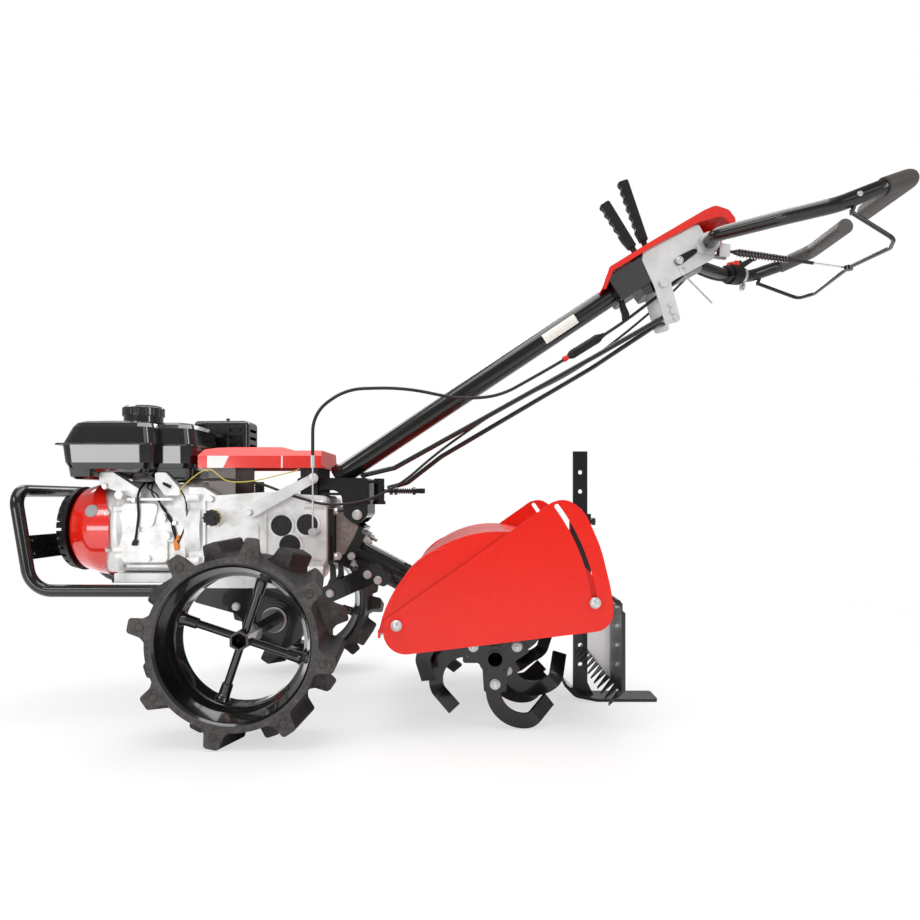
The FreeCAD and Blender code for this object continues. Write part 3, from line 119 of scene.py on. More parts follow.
class Finish(Nodes):
    """One procedural material, built on a Principled shader, with its patterns in metres on the piece."""

    def __init__(self, name):
        self.name = name
        self.material = bpy.data.materials.new(name)
        self.material.use_nodes = True
        super().__init__(self.material.node_tree)
        self.shader = self.tree.nodes["Principled BSDF"]
        self.place = self.node("ShaderNodeTexCoord", {}).outputs["Object"]

    def noise(self, scale, detail=3.0, rough=0.55, place=None):
        """Clouds from 0 to 1, scale of them to a metre."""
        made = self.node("ShaderNodeTexNoise", {}, Vector=place or self.place, Scale=scale, Detail=detail,
                         Roughness=rough)
        return Value(self, made.outputs["Fac"])

    def cells(self, scale):
        """Round grains, scale of them to a metre: the distance to the nearest grain's middle."""
        made = self.node("ShaderNodeTexVoronoi", {}, Vector=self.place, Scale=scale)
        return Value(self, made.outputs["Distance"])

    def one_of(self, vector, letter):
        """One of a vector's three numbers."""
        return Value(self, self.node("ShaderNodeSeparateXYZ", {}, vector).outputs[letter])

    def axis(self, letter):
        """The place along an axis, in metres."""
        return self.one_of(self.place, letter)

    def facing(self, letter):
        """How far the surface's own normal points along an axis."""
        return self.one_of(self.node("ShaderNodeNewGeometry", {}).outputs["Normal"], letter)

    def stretched(self, *scale):
        """The place multiplied along x, y and z, which draws a pattern out along the smallest."""
        return self.node("ShaderNodeMapping", {}, self.place, Scale=scale).outputs["Vector"]

    def blend(self, factor, first, second):
        """A colour between two colours."""
        made = self.node("ShaderNodeMix", {"data_type": "RGBA"})
        for number, value in zip(MIX_SOCKETS, (factor, first, second)):
            self.feed(made.inputs[number], value)
        return made.outputs[2]

    def set(self, **sockets):
        """Sets or links the shader's own sockets; underscores stand for spaces."""
        for name, value in sockets.items():
            self.feed(self.shader.inputs[name.replace("_", " ")], value)

    def bump(self, height, depth):
        """Raises the surface by depth metres where height goes from 0 to 1."""
        made = self.node("ShaderNodeBump", {}, Height=height, Distance=depth)
        self.feed(self.shader.inputs["Normal"], made.outputs["Normal"])
        return self


# ---------------------------------------------------------------- finishes
def shaded(colour, factor):
    """A colour made darker or lighter, up to full."""
    return tuple(min(1.0, part * factor) for part in colour)


def sprayed(name, colour, rough, coat, peel, dust, shine):
    """Sprayed paint: faint orange peel, a little dust on what faces up and slow changes of gloss."""
    f = Finish(name)
    slow = f.noise(9.0, 4.0)
    fine = f.noise(420.0, 2.0)
    speck = f.noise(160.0, 6.0, 0.7).over(0.63, 0.10)
    upward = f.facing("Z").over(0.75, 0.5)
    film = (speck * 0.5 + upward * slow) * dust
    pale = tuple(part * 0.6 + 0.16 for part in colour)
    shade = f.blend(slow, shaded(colour, 0.90), shaded(colour, 1.07))
    f.set(Base_Color=f.blend(film, shade, pale), Roughness=rough + slow * 0.10 + film * 0.5, Coat_Weight=coat,
          Coat_Roughness=0.04, Specular_IOR_Level=shine)
    return f.bump(fine * 0.35 + f.noise(60.0, 1.0) * 0.8, peel)


def cast_aluminium():
    """As-cast aluminium: bright, grainy, with grey stain in slow random blotches and a few warm spots."""
    f = Finish("cast_aluminium")
    grain = f.noise(620.0, 4.0, 0.7)
    blotch = f.noise(22.0, 5.0, 0.6)
    pits = f.cells(340.0)
    stain = blotch.over(0.60, 0.25)
    warm = f.noise(11.0, 2.0).over(0.70, 0.05) * 0.25
    tone = f.blend(stain, (0.90, 0.90, 0.895), (0.66, 0.65, 0.635))
    tone = f.blend(warm, tone, (0.80, 0.66, 0.50))
    f.set(Base_Color=tone, Metallic=0.45, Roughness=0.36 + grain * 0.18 + stain * 0.12)
    return f.bump(grain * 0.5 + pits * 0.5 + blotch * 1.2, 0.00035)


def zinc_steel():
    """Zinc plate: fine drawn lines, cloudy passivation."""
    f = Finish("zinc_steel")
    colour = (0.78, 0.78, 0.775)
    lines = f.noise(1.0, 4.0, 0.6, f.stretched(900.0, 900.0, 90.0))
    cloud = f.noise(14.0, 5.0, 0.6)
    f.set(Base_Color=f.blend(cloud.over(0.5, 0.5), shaded(colour, 0.66), shaded(colour, 1.05)), Metallic=0.72,
          Roughness=0.25 + lines * 0.12 + cloud * 0.10)
    return f.bump(lines, 0.00003)


def bare_steel():
    """Blasted bare steel plate, grey-brown with mill scale."""
    f = Finish("bare_steel")
    scale = f.noise(120.0, 6.0, 0.75)
    grain = f.noise(900.0, 3.0, 0.7)
    f.set(Base_Color=f.blend(scale.over(0.5, 0.3), (0.20, 0.165, 0.15), (0.36, 0.31, 0.28)), Metallic=0.55,
          Roughness=0.5 + scale * 0.2)
    return f.bump(grain + scale, 0.00025)


def tyre_rubber():
    """Moulded tyre rubber: dark grey, mottled with bloom and dust, finely pebbled."""
    f = Finish("tyre_rubber")
    bloom = f.noise(26.0, 6.0, 0.7)
    dust = f.noise(150.0, 5.0, 0.75)
    pebble = f.cells(700.0)
    side = f.facing("Y")
    flat = (side * side).over(0.75, 0.3)
    pale = (bloom.over(0.45, 0.35) * 0.6 + dust.over(0.55, 0.25) * 0.5) * (flat * 0.8 + 0.2)
    f.set(Base_Color=f.blend(pale, (0.012, 0.0115, 0.0115), (0.115, 0.104, 0.100)),
          Roughness=0.55 + dust * 0.2 + pale * 0.2, Specular_IOR_Level=0.4)
    return f.bump(pebble * 0.5 + dust, 0.0003)


def soft_rubber():
    """Dull black rubber with slow changes of grey and a fine pebble."""
    f = Finish("soft_rubber")
    mark = f.noise(70.0, 4.0)
    f.set(Base_Color=f.blend(mark, (0.009, 0.009, 0.009), (0.020, 0.020, 0.020)), Roughness=0.46 + mark * 0.2)
    return f.bump(f.noise(800.0, 2.0), 0.00012)


def moulded(name, low, high, rough):
    """Moulded plastic between two tones, with a fine spark-eroded grain."""
    f = Finish(name)
    slow = f.noise(30.0, 3.0)
    f.set(Base_Color=f.blend(slow, low, high), Roughness=rough + slow * 0.14, Specular_IOR_Level=0.35)
    return f.bump(f.cells(1400.0), 0.00008)


COVER_EDGE = 0.0005             # how soft the edges of the cover's marks are, in metres
COVER_STRIPE = (0.0185, 0.0500)     # the pale stripe's two ends behind the cover's front, at its lower edge
COVER_LINE = (0.1655, 0.1685)   # the thin line's two sides behind the cover's front
COVER_MARK_TOP = 0.0240         # how far the marks rise above the cover's lower edge


def cover_red():
    """The top cover's red with its pale stripe and thin line, which run across the near and far sides."""
    f = Finish("cover_red")
    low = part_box("top_cover")[0]
    along, rise, side = f.axis("X") - low.x, f.axis("Z") - low.z, f.facing("Y")
    flank = (side * side).over(0.9, 0.1) * (1.0 - rise.over(COVER_MARK_TOP, 0.0004))
    stripe = (along.over(COVER_STRIPE[0], COVER_EDGE)
              * (1.0 - (along - rise * 0.5).over(COVER_STRIPE[1], COVER_EDGE)))
    thin = along.over(COVER_LINE[0], COVER_EDGE) * (1.0 - along.over(COVER_LINE[1], COVER_EDGE))
    mark = (stripe + thin).at_most(1.0) * flank
    slow = f.noise(12.0, 3.0)
    red = f.blend(slow, (0.76, 0.018, 0.010), (0.85, 0.023, 0.012))
    f.set(Base_Color=f.blend(mark, red, (0.86, 0.86, 0.85)), Roughness=0.24 + slow * 0.1, Coat_Weight=0.4,
          Coat_Roughness=0.08)
    return f.bump(f.noise(700.0, 2.0), 0.00004)


def leg_steel():
    """The cover's two sheet legs: dull galvanised steel at the front and black paint at the back."""
    f = Finish("leg_steel")
    low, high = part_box("cover_brackets")
    back = f.axis("X").over((low.x + high.x) / 2, 0.002)
    slow = f.noise(30.0, 4.0)
    grey = f.blend(slow, (0.17, 0.155, 0.15), (0.26, 0.24, 0.23))
    f.set(Base_Color=f.blend(back, grey, (0.006, 0.006, 0.006)), Metallic=0.6 - back * 0.6,
          Roughness=0.36 + slow * 0.15)
    return f.bump(f.noise(300.0, 3.0), 0.00006)


def grip_rubber():
    """Soft moulded sleeve: dark warm grey with fine rings round it and a faint bloom."""
    f = Finish("grip_rubber")
    bloom = f.noise(24.0, 4.0)
    rings = (f.axis("Y") * 900.0).wave()
    f.set(Base_Color=f.blend(bloom, (0.052, 0.046, 0.044), (0.088, 0.079, 0.075)),
          Roughness=0.36 + bloom * 0.12)
    return f.bump(rings * 0.5 + f.noise(700.0, 2.0), 0.00008)


def pale_film():
    """Plain satin film with a faintly mottled surface and no print."""
    f = Finish("label_pale")
    slow = f.noise(60.0, 3.0)
    f.set(Base_Color=f.blend(slow, (0.84, 0.83, 0.77), (0.88, 0.87, 0.82)), Roughness=0.34 + slow * 0.1)
    return f.bump(f.noise(300.0, 1.0), 0.00001)


def axle_rust():
    """Cut steel with a light skin of brown rust."""
    f = Finish("axle_rust")
    patch = f.noise(160.0, 5.0, 0.7)
    f.set(Base_Color=f.blend(patch.over(0.45, 0.3), (0.10, 0.045, 0.022), (0.03, 0.018, 0.014)), Metallic=0.3,
          Roughness=0.6 + patch * 0.2)
    return f.bump(patch, 0.0003)


# Sprayed paints: colour, roughness, coat, height of the orange peel in metres, dust, specular level.
PAINTS = {
    "shroud_red": ((0.83, 0.015, 0.006), 0.14, 1.0, 0.00004, 0.015, 0.6),
    "cap_black": ((0.010, 0.010, 0.010), 0.16, 1.0, 0.00003, 0.02, 0.6),
    "red_paint": ((0.83, 0.015, 0.006), 0.22, 0.35, 0.00005, 0.015, 0.28),
    "black_paint": ((0.0058, 0.0054, 0.0052), 0.20, 0.45, 0.00004, 0.04, 0.40),
    "gloss_black": ((0.0040, 0.0040, 0.0042), 0.10, 0.9, 0.00005, 0.02, 0.6),
    "rim_paint": ((0.0048, 0.0046, 0.0045), 0.14, 0.8, 0.00004, 0.03, 0.55),
}
# Moulded plastics: darker tone, lighter tone, roughness.
PLASTICS = {
    "grey_plastic": ((0.33, 0.33, 0.33), (0.42, 0.42, 0.42), 0.36),
    "signal_orange": ((0.80, 0.24, 0.03), (0.90, 0.30, 0.05), 0.4),
    "wire_yellow": ((0.62, 0.47, 0.06), (0.74, 0.58, 0.12), 0.42),
    "matt_plastic": ((0.0045, 0.0045, 0.0045), (0.0095, 0.0095, 0.0095), 0.38),
    "red_plastic": ((0.70, 0.017, 0.010), (0.80, 0.022, 0.012), 0.22),
}
FINISHES = {finish.name: finish for finish in (
    *(sprayed(name, *values) for name, values in PAINTS.items()),
    *(moulded(name, *values) for name, values in PLASTICS.items()),
    cast_aluminium(), zinc_steel(), bare_steel(), tyre_rubber(), soft_rubber(), cover_red(), leg_steel(),
    grip_rubber(), pale_film(), axle_rust())}
SLOT_FINISH = {"tank_paint": "gloss_black", "black_rubber": "soft_rubber", "black_plastic": "matt_plastic"}
NODE_FINISH = {"top_cover": "cover_red", "cover_brackets": "leg_steel", "axle_shaft": "rim_paint",
               "fan_shroud": "shroud_red", "fuel_cap": "cap_black", "muffler": "gloss_black",
               "air_cleaner": "cap_black", "left_grip": "grip_rubber", "right_grip": "grip_rubber"}


def finish_of(slot, special=None):
    """A special finish if one is named, or the one that goes with a slot of the record."""
    return FINISHES[special or SLOT_FINISH.get(slot, slot)].material


for part in frame["record"]["subparts"]:
    node = frame["nodes"][part["node"]]
    node.data.materials.clear()
    node.data.materials.append(finish_of(part["material_slot"], NODE_FINISH.get(part["node"])))


# ---------------------------------------------------------------- surfaces
def unit(vector):
    """The same way with a length of one."""
    vector = np.array(vector, float)
    return vector / np.linalg.norm(vector)


def round_turn(sides):
    """Equal steps once round, in radians."""
    return np.linspace(0, TAU, sides + 1)[:-1]


def frame_of(way):
    """Two directions at right angles to each row of way, worked out without a start row."""
    way = way / np.linalg.norm(way, axis=-1, keepdims=True)
    rough = np.abs(way)
    other = np.where(rough == rough.min(axis=-1, keepdims=True), 1.0, 0.0)
    other = other * (np.cumsum(other, axis=-1) == 1)
    first = np.cross(way, other)
    first /= np.linalg.norm(first, axis=-1, keepdims=True)
    return first, np.cross(way, first)


def turned(profile, place, way, sides=24, twist=0.0):
    """A profile of (radius, along) pairs turned about a line: place + along*way + radius*(cos a, sin a)."""
    profile, way = np.array(profile, float), unit(way)
    first, second = frame_of(way)
    turn = round_turn(sides) + twist
    round_it = np.outer(np.cos(turn), first) + np.outer(np.sin(turn), second)
    return np.array(place, float) + profile[:, 1, None, None] * way + profile[:, 0, None, None] * round_it


def smooth_path(points, steps=10):
    """A curve through every point: between two points the cubic whose slopes are half the chord round them."""
    p = np.array(points, float)
    p = np.concatenate([2 * p[:1] - p[1:2], p, 2 * p[-1:] - p[-2:-1]])
    t = np.linspace(0, 1, steps, endpoint=False)[None, :, None]
    a, b, c, d = (p[k:len(p) - 3 + k, None] for k in range(4))
    runs = 0.5 * (2 * b + (c - a) * t + (2 * a - 5 * b + 4 * c - d) * t ** 2 + (3 * b - a - 3 * c + d) * t ** 3)
    return np.concatenate([runs.reshape(-1, 3), p[-2:-1]])


def tube(path, radius, sides=10):
    """A circle carried along a path, its plane square to the path; radius may vary along it."""
    path = np.array(path, float)
    way = np.gradient(path, axis=0)
    main = path[-1] - path[0]
    first = np.cross(way, frame_of(main[None])[0])
    first /= np.linalg.norm(first, axis=1, keepdims=True)
    second = np.cross(way / np.linalg.norm(way, axis=1, keepdims=True), first)
    turn = round_turn(sides)[None, :, None]
    radius = np.broadcast_to(np.array(radius, float), (len(path),))[:, None, None]
    return path[:, None] + radius * (np.cos(turn) * first[:, None] + np.sin(turn) * second[:, None])


COIL_STEPS = 14                 # rows of points in each turn of a wound wire


def coil(start, end, radius, wire, turns, sides=6):
    """A wire wound round a line: the middle of the wire is at radius, and a small circle is carried along it.

    radius is one number, or one for each of the int(turns * COIL_STEPS) + 1 rows."""
    start, end = np.array(start, float), np.array(end, float)
    way = unit(end - start)
    first, second = frame_of(way)
    share = np.linspace(0, 1, int(turns * COIL_STEPS) + 1)[:, None]
    out = np.cos(TAU * turns * share) * first + np.sin(TAU * turns * share) * second
    radius = np.broadcast_to(np.reshape(radius, (-1, 1)), share.shape)
    turn = round_turn(sides)[None, :, None]
    middle = start + share * (end - start)
    return middle[:, None] + out[:, None] * (radius[:, None] + wire * np.cos(turn)) + way * wire * np.sin(turn)


def slab(outline, low, high, round_off=0.8):
    """A side-view outline of (x, z) pairs carried from y low to y high, drawn in a little at both faces."""
    outline = np.array(outline, float)
    middle = outline.mean(axis=0)
    reach = np.linalg.norm(outline - middle, axis=1, keepdims=True)
    drawn = middle + (outline - middle) * (1 - round_off / reach)
    lift = math.copysign(round_off, high - low)
    rows = [(drawn, low), (outline, low + lift), (outline, high - lift), (drawn, high)]
    return np.stack([np.stack([o[:, 0], np.full(len(o), y), o[:, 1]], axis=1) for o, y in rows])


def rounded(outline, radius, steps=5):
    """An outline with each corner replaced by the curve between the points a radius before and after it."""
    p = np.array(outline, float)
    before, after = np.roll(p, 1, axis=0) - p, np.roll(p, -1, axis=0) - p
    before /= np.linalg.norm(before, axis=1, keepdims=True)
    after /= np.linalg.norm(after, axis=1, keepdims=True)
    t = np.linspace(0, 1, steps)[None, :, None]
    curve = p[:, None] + radius * (before[:, None] * (1 - t) ** 2 + after[:, None] * t ** 2)
    return curve.reshape(-1, 2)


def closed_faces(rows, columns, start=0):
    """The point numbers of a grid, and the four-sided faces that join it, its last column to its first."""
    index = np.arange(rows * columns).reshape(rows, columns) + start
    across = np.concatenate([index, index[:, :1]], axis=1)
    faces = np.stack([across[:-1, :-1], across[:-1, 1:], across[1:, 1:], across[1:, :-1]], axis=-1)
    return index, faces.reshape(-1, 4).tolist()


def put_in_scene(name, data):
    """A new object in the scene that holds a mesh, a lamp or a camera."""
    made = bpy.data.objects.new(name, data)
    bpy.context.scene.collection.objects.link(made)
    return made


class Piece:
    """One new piece, gathered from grids of points in millimetres."""

    def __init__(self, name, body, slot, finish=None):
        self.name, self.body, self.slot, self.material = name, body, slot, finish_of(slot, finish)
        self.points, self.faces, self.total = [], [], 0

    def add(self, grid, seal=True):
        """Adds a grid that closes on itself across its columns; its first and last rows get a face if sealed."""
        rows, columns = grid.shape[:2]
        index, faces = closed_faces(rows, columns, self.total)
        self.points.append(grid.reshape(-1, 3))
        self.faces += faces
        self.faces += [index[0][::-1].tolist(), index[-1].tolist()] if seal else []
        self.total += rows * columns
        return self

    def done(self, sharp=0.6):
        """Makes the mesh, smooth but for edges over the sharp angle in radians, and gives it its body and slot."""
        mesh = bpy.data.meshes.new(self.name)
        mesh.from_pydata((np.concatenate(self.points) * MM).tolist(), [], self.faces)
        work = bmesh.new()
        work.from_mesh(mesh)
        bmesh.ops.recalc_face_normals(work, faces=work.faces)
        work.to_mesh(mesh)
        work.free()
        mesh.shade_smooth()
        mesh.set_sharp_from_angle(angle=sharp)
        mesh.materials.append(self.material)
        made = put_in_scene(self.name, mesh)
        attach(made, self.body)


def hexagon_bolt(piece, place, way, across=13.0, height=6.0, washer=1.6, stud=0.0, twist=0.3):
    """A washer, a chamfered hexagon and, for a nut, the rounded end of its thread."""
    radius, top = across / math.sqrt(3), washer + height
    if washer:
        wide = across * 0.56 + 1.2
        piece.add(turned([(wide, -1.0), (wide, washer - 0.4), (wide - 0.4, washer)], place, way, 24))
    head = [(radius, washer - 0.3), (radius, top - 0.9), (radius * 0.9, top)]
    piece.add(turned(head, place, way, 6, twist))
    if stud:
        thread = across * 0.30
        piece.add(turned([(thread, washer), (thread, top + stud - 1), (thread - 1, top + stud)], place, way, 16))


def domed_bolt(piece, place, way, radius=8.0, height=4.5):
    """A shallow mushroom head: a quarter ellipse of the head's radius and height, on a thin washer."""
    a = np.linspace(0, math.pi / 2 - 0.12, 8)
    dome = np.stack([radius * np.cos(a), 1.2 + height * np.sin(a)], axis=1)
    washer = [(radius + 1.8, -0.6), (radius + 1.8, 0.7), (radius + 1.3, 1.2)]
    piece.add(turned([*washer, *dome.tolist()], place, way, 28))


def both_sides(places):
    """The same places on the near and the far side of the machine's middle plane, each with its outward way."""
    return [((x, side * y, z), (0, side, 0)) for x, y, z in places for side in (-1, 1)]


# ---------------------------------------------------------------- small parts, in millimetres
LEFT, RIGHT, UP, BACK = (0, -1, 0), (0, 1, 0), (0, 0, 1), (1, 0, 0)


def joint_place(name):
    """Where a joint's line crosses the middle plane."""
    return np.array([joint["pos_m"] for joint in frame["joints"] if joint["name"] == name][0]) / MM


AXLE, ROTOR, BARS = joint_place("wheel_roll"), joint_place("rotor_spin"), joint_place("handlebar_tilt")
CRANK_Z = 356.0                 # height of the engine's shaft
COLUMN_FOOT = np.array([-257.0, 0.0, 460.5])
COLUMN_RISE = 0.5882            # slope of the column, in radians
COLUMN_RADIUS = 21.2
HUB_FACE, TYRE_FACE = 269.0, 345.0      # outer faces of the hubs and the tyres, from the middle plane
CASTING_NEAR, CASTING_FAR = -93.5, 88.0 # where leads and plugs lie on the near side, and bolts on the far side


def engine_fasteners():
    """Bolts round the crankcase, its foot, the shroud's rim and the gearbox flange, and the shroud's plug."""
    bolts = Piece("engine_bolts", "chassis", "zinc_steel")
    foot_near, foot_far = (0, -0.89, -0.45), (0, 0.89, -0.45)
    for place, way, across in (((-668.4, -84.2, 283.5), foot_near, 9), ((-581, -86, 287.6), foot_near, 9),
                               ((-702.2, -86, 442.8), LEFT, 10), ((-490.9, -88, 417), LEFT, 12),
                               ((-640.1, -96, 415), LEFT, 9), ((-560.8, -92, 369.5), LEFT, 9),
                               ((-409, -110, 390.2), LEFT, 12)):
        hexagon_bolt(bolts, place, way, across, across * 0.42, 1.2)
    for place in ((-668.4, 84.2, 283.5), (-581, 86, 287.6)):
        hexagon_bolt(bolts, place, foot_far, 9, 4, 1.2)
    for x, z in ((-500, 300), (-415, 290), (-330, 290), (-300, 400), (-400, 408), (-490, 412)):
        hexagon_bolt(bolts, (x, CASTING_FAR, z), RIGHT, 11, 5, 1.4)
    rim_x, rim_radius = -697.0, 95.6
    for turn in np.radians([20, 65, 115, 160, 205, 250, 295, 340]):
        out = (0, math.cos(turn), math.sin(turn))
        domed_bolt(bolts, (rim_x, rim_radius * out[1], CRANK_Z + rim_radius * out[2]), out, 3.6, 2.2)
    bolts.done()
    cap = Piece("shroud_plug", "chassis", "black_plastic", "grey_plastic")
    steps = [(12.8, -2.5), (12.8, 0.5), (12.0, 1.3), (10.4, 1.4), (9.8, 0.9), (8.6, 0.8), (5.5, 1.4), (2, 1.6)]
    cap.add(turned(steps, (-728.4, -87.6, 393.4), (-0.03, -0.93, 0.36), 40)).done()


def engine_leads():
    """The thin leads over the crankcase, each held at both ends, with their connectors."""
    black = Piece("engine_leads", "chassis", "black_plastic")
    vent = smooth_path([(-630, -70, 449), (-633, -86, 436), (-632, -98.6, 418), (-630.5, -98.6, 385),
                        (-634, -99, 352), (-637.7, -99, 331)])
    black.add(tube(vent, 2.3))
    black.add(slab(rounded([(-643, 325), (-633, 325), (-631, 336), (-641, 336)], 2.5), -96, -102.5))
    for shift in (-2.2, 2.2):
        lead = smooth_path([(-622 + shift, -50, 452), (-616 + shift * 2, -80, 440), (-600 - shift * 2, -92, 424),
                            (-584 + shift, -94.5, 400), (-571 - shift, -94.5, 380),
                            (-563 + shift, -94.5, 358), (-558, -95, 338)])
        black.add(tube(lead, 1.5))
    black.add(tube(smooth_path([(-549, -91.5, 434), (-541, -93, 418), (-537, -93, 392), (-540, -93, 366),
                                (-548, -93, 344), (-556, -93.5, 326)]), 1.4))
    black.add(tube([(-600, -70, 453), (-586, -84, 448), (-572, -88, 441)], 3.4))
    black.done()
    ends = Piece("lead_connectors", "chassis", "red_plastic", "signal_orange")
    ends.add(slab(rounded([(-563, 334), (-556, 338), (-551, 318), (-560, 314)], 2), -92, -97.5))
    ends.add(slab(rounded([(-557, 345), (-551, 345), (-551, 336), (-557, 336)], 1.5), -92, -96.5))
    ends.done()
    over = ((-531, 454.6), (-506.4, 472), (-487.5, 474), (-456.9, 453), (-407.4, 452.6))
    wire = smooth_path([(-552, -88, 428), (-549.7, -92.5, 436), *((x, CASTING_NEAR, z) for x, z in over),
                        (-345, -93, 467), (-323, -88, 473), (-316, -80, 481)], 14)
    Piece("switch_wire", "chassis", "black_plastic", "wire_yellow").add(tube(wire, 1.1, 8)).done()


def gearbox_details():
    """Ribbed faces on the three plugs, the dipstick's scalloped cap and seal, and the breather's ribs."""
    faces = Piece("plug_faces", "chassis", "black_rubber")
    rings = [(20.4, -0.4), (20.4, 0.5), (19.6, 1.4), (16.8, 1.4), (16.2, 0.5), (13.4, 0.5), (12.8, 1.5),
             (10.4, 1.5), (9.8, 0.5), (6.4, 0.5), (5.8, 1.3), (1.5, 1.5)]
    for x, z in ((-350.0, 364.5), (-299.0, 366.5), (-333.5, 325.5)):
        faces.add(turned(rings, (x, CASTING_NEAR, z), LEFT, 40))
    dipstick = x, y, z = (-484.0, -111.0, 380.0)
    faces.add(turned([(14.4, -12), (14.4, 0.2), (13, 1.2), (9.5, 1.2), (8.8, 0.2), (1, 0.2)], dipstick, LEFT, 32))
    for turn in round_turn(12):
        scallop = (x + 14.2 * math.cos(turn), y, z + 14.2 * math.sin(turn))
        faces.add(turned([(2.1, -11.5), (2.1, 0.4), (1.2, 1.4)], scallop, LEFT, 8))
    faces.add(slab(rounded([(x - 9, z - 2), (x + 9, z - 2), (x + 9, z + 2), (x - 9, z + 2)], 1.5), y, y - 4))
    for height in (433, 438, 443, 448):
        faces.add(turned([(9.0, -1.4), (10.4, 0), (9.0, 1.4)], (-408, -40, height), UP, 28))
    faces.done()
    seal = Piece("dipstick_seal", "chassis", "red_plastic", "wire_yellow")
    seal.add(turned([(15.8, -0.5), (16.4, 0.4), (16.4, 1.4), (15.8, 2.2)], (x, -98, z), LEFT, 32)).done()


def gearbox_fasteners():
    """Bolts of the gearbox, the column bracket and the boom's flange, rings of the bearings and gusset sheets."""
    bolts = Piece("gearbox_bolts", "chassis", "zinc_steel")
    for place, way in both_sides([(-449.3, 62, 199.8)]):
        hexagon_bolt(bolts, place, way, 13, 5.5)
    for place, way in both_sides([(-205, 64, 385)]):
        bolts.add(turned([(9.6, -6.2), (10.2, -5.4), (10.2, 0.4), (9.6, 1.0)], place, way, 32))
        hexagon_bolt(bolts, np.array(place) + np.array(way) * 0.6, way, 14, 4.5, 0)
    domed_bolt(bolts, (-284, -110.2, 457.5), LEFT, 8.5, 3.5)
    hexagon_bolt(bolts, (-276, -104, 352.5), LEFT, 10, 5, 1.4)
    for place, way in both_sides([(-245.5, 52, 301), (-218.5, 52, 301)]):
        hexagon_bolt(bolts, place, way, 13, 5.5)
    for place, way in both_sides([(-259.8, 61, 226.2), (-184, 61, 264), (-163, 61, 253)]):
        hexagon_bolt(bolts, place, way, 13, 5)
    flange_out, flange_way = np.array([0.884, 0, -0.468]), np.array([0.468, 0, 0.884])
    for along in (14, 68):
        for side in (-1, 1):
            spot = np.array([-240.7, 42 * side, 284.2]) + flange_way * along + flange_out * 17.6
            hexagon_bolt(bolts, spot, flange_out, 13, 8, 1.6, 9)
    for z in (300, 392):
        for side in (-1, 1):
            hexagon_bolt(bolts, (-251.2, 60 * side, z), BACK, 12, 5.5)
    bolts.done()
    ring = Piece("bearing_rings", "chassis", "zinc_steel")
    profile = [(25.5, -3), (25.5, 0.8), (24.6, 1.6), (22.6, 1.6), (22.0, 0.6), (18.8, 0.6), (18.2, 1.4),
               (16.2, 1.4), (15.9, 0.2), (15.9, -3)]
    for place, way in both_sides([(AXLE[0], 75, AXLE[2])]):
        ring.add(turned(profile, place, way, 48), seal=False)
    ring.done()
    sheets = Piece("gusset_sheets", "chassis", "black_paint", "bare_steel")
    outline = [(-248.5, 391), (-233, 391), (-203.5, 361), (-212, 340), (-232, 305), (-248.5, 299)]
    for side in (-1, 1):
        sheets.add(slab(rounded(outline, 3), 51.6 * side, 52.6 * side, 0.4))
    sheets.done()


def hood_details():
    """Mushroom heads on the guards' bolts, the pressed bead along the hood's edge, and the rotor's nuts."""
    heads = Piece("guard_bolts", "chassis", "zinc_steel")
    for place, way in both_sides([(-106, 261.2, 194), (244, 261.2, 234)]):
        domed_bolt(heads, place, way, 8.2, 3.6)
    heads.done()
    bead = Piece("hood_beads", "chassis", "red_paint")
    edge = ((-116, 214), (-111, 231), (-103, 256), (-83, 290), (-56, 315), (-30, 327), (-8, 332))
    line = smooth_path([(x, 249, z) for x, z in edge])
    share = np.linspace(0, 1, len(line))
    wide = 2.6 * np.sqrt(np.clip(np.sin(math.pi * share), 0.02, 1))
    for side in (-1, 1):
        bead.add(tube(line * (1, side, 1), wide, 12))
    bead.done()
    nuts = Piece("tine_bolts", "tine_rotor", "zinc_steel")
    reach = 45                  # from the rotor's line to each blade's bolt
    for station, phase in ((72.0, 6.0), (148.0, 34.0), (225.0, 0.0)):
        for turn in np.radians(np.array([0.0, 120.0, 240.0]) - phase):
            x, z = ROTOR[0] - reach * math.sin(turn), ROTOR[2] - reach * math.cos(turn)
            for side in (-1, 1):
                for face in (-1, 1):
                    spot = (x, side * station + face * 12, z)
                    hexagon_bolt(nuts, spot, (0, face, 0), 15, 6, 1.6, 3 if face == side else 0)
    nuts.done()


def wheel_details():
    """Round moulded marks on the tyres' lug tabs, and the bare ends of the hexagonal axle inside the hubs."""
    marks = Piece("tyre_marks", "wheels", "tyre_rubber")
    rim = [(7.4, -0.5), (7.4, 0.25), (6.9, 0.8), (6.2, 0.8), (5.8, 0.35), (1.0, 0.45)]
    reach = 154.6               # from the axle's line to each mark
    for turn in np.radians(-11.4 + 45.0 * np.arange(8)):
        middle = (AXLE[0] + reach * math.cos(turn), TYRE_FACE, AXLE[2] + reach * math.sin(turn))
        for place, way in both_sides([middle]):
            marks.add(turned(rim, place, way, 28))
    marks.done()
    ends = Piece("axle_ends", "wheels", "black_paint", "axle_rust")
    hexagon = [(13.2, -2), (13.2, 0.6), (11.6, 1.4), (4.5, 1.4), (3.8, 0.2)]
    for place, way in both_sides([(AXLE[0], HUB_FACE, AXLE[2])]):
        ends.add(turned(hexagon, place, way, 6, math.pi / 6))
    ends.done()


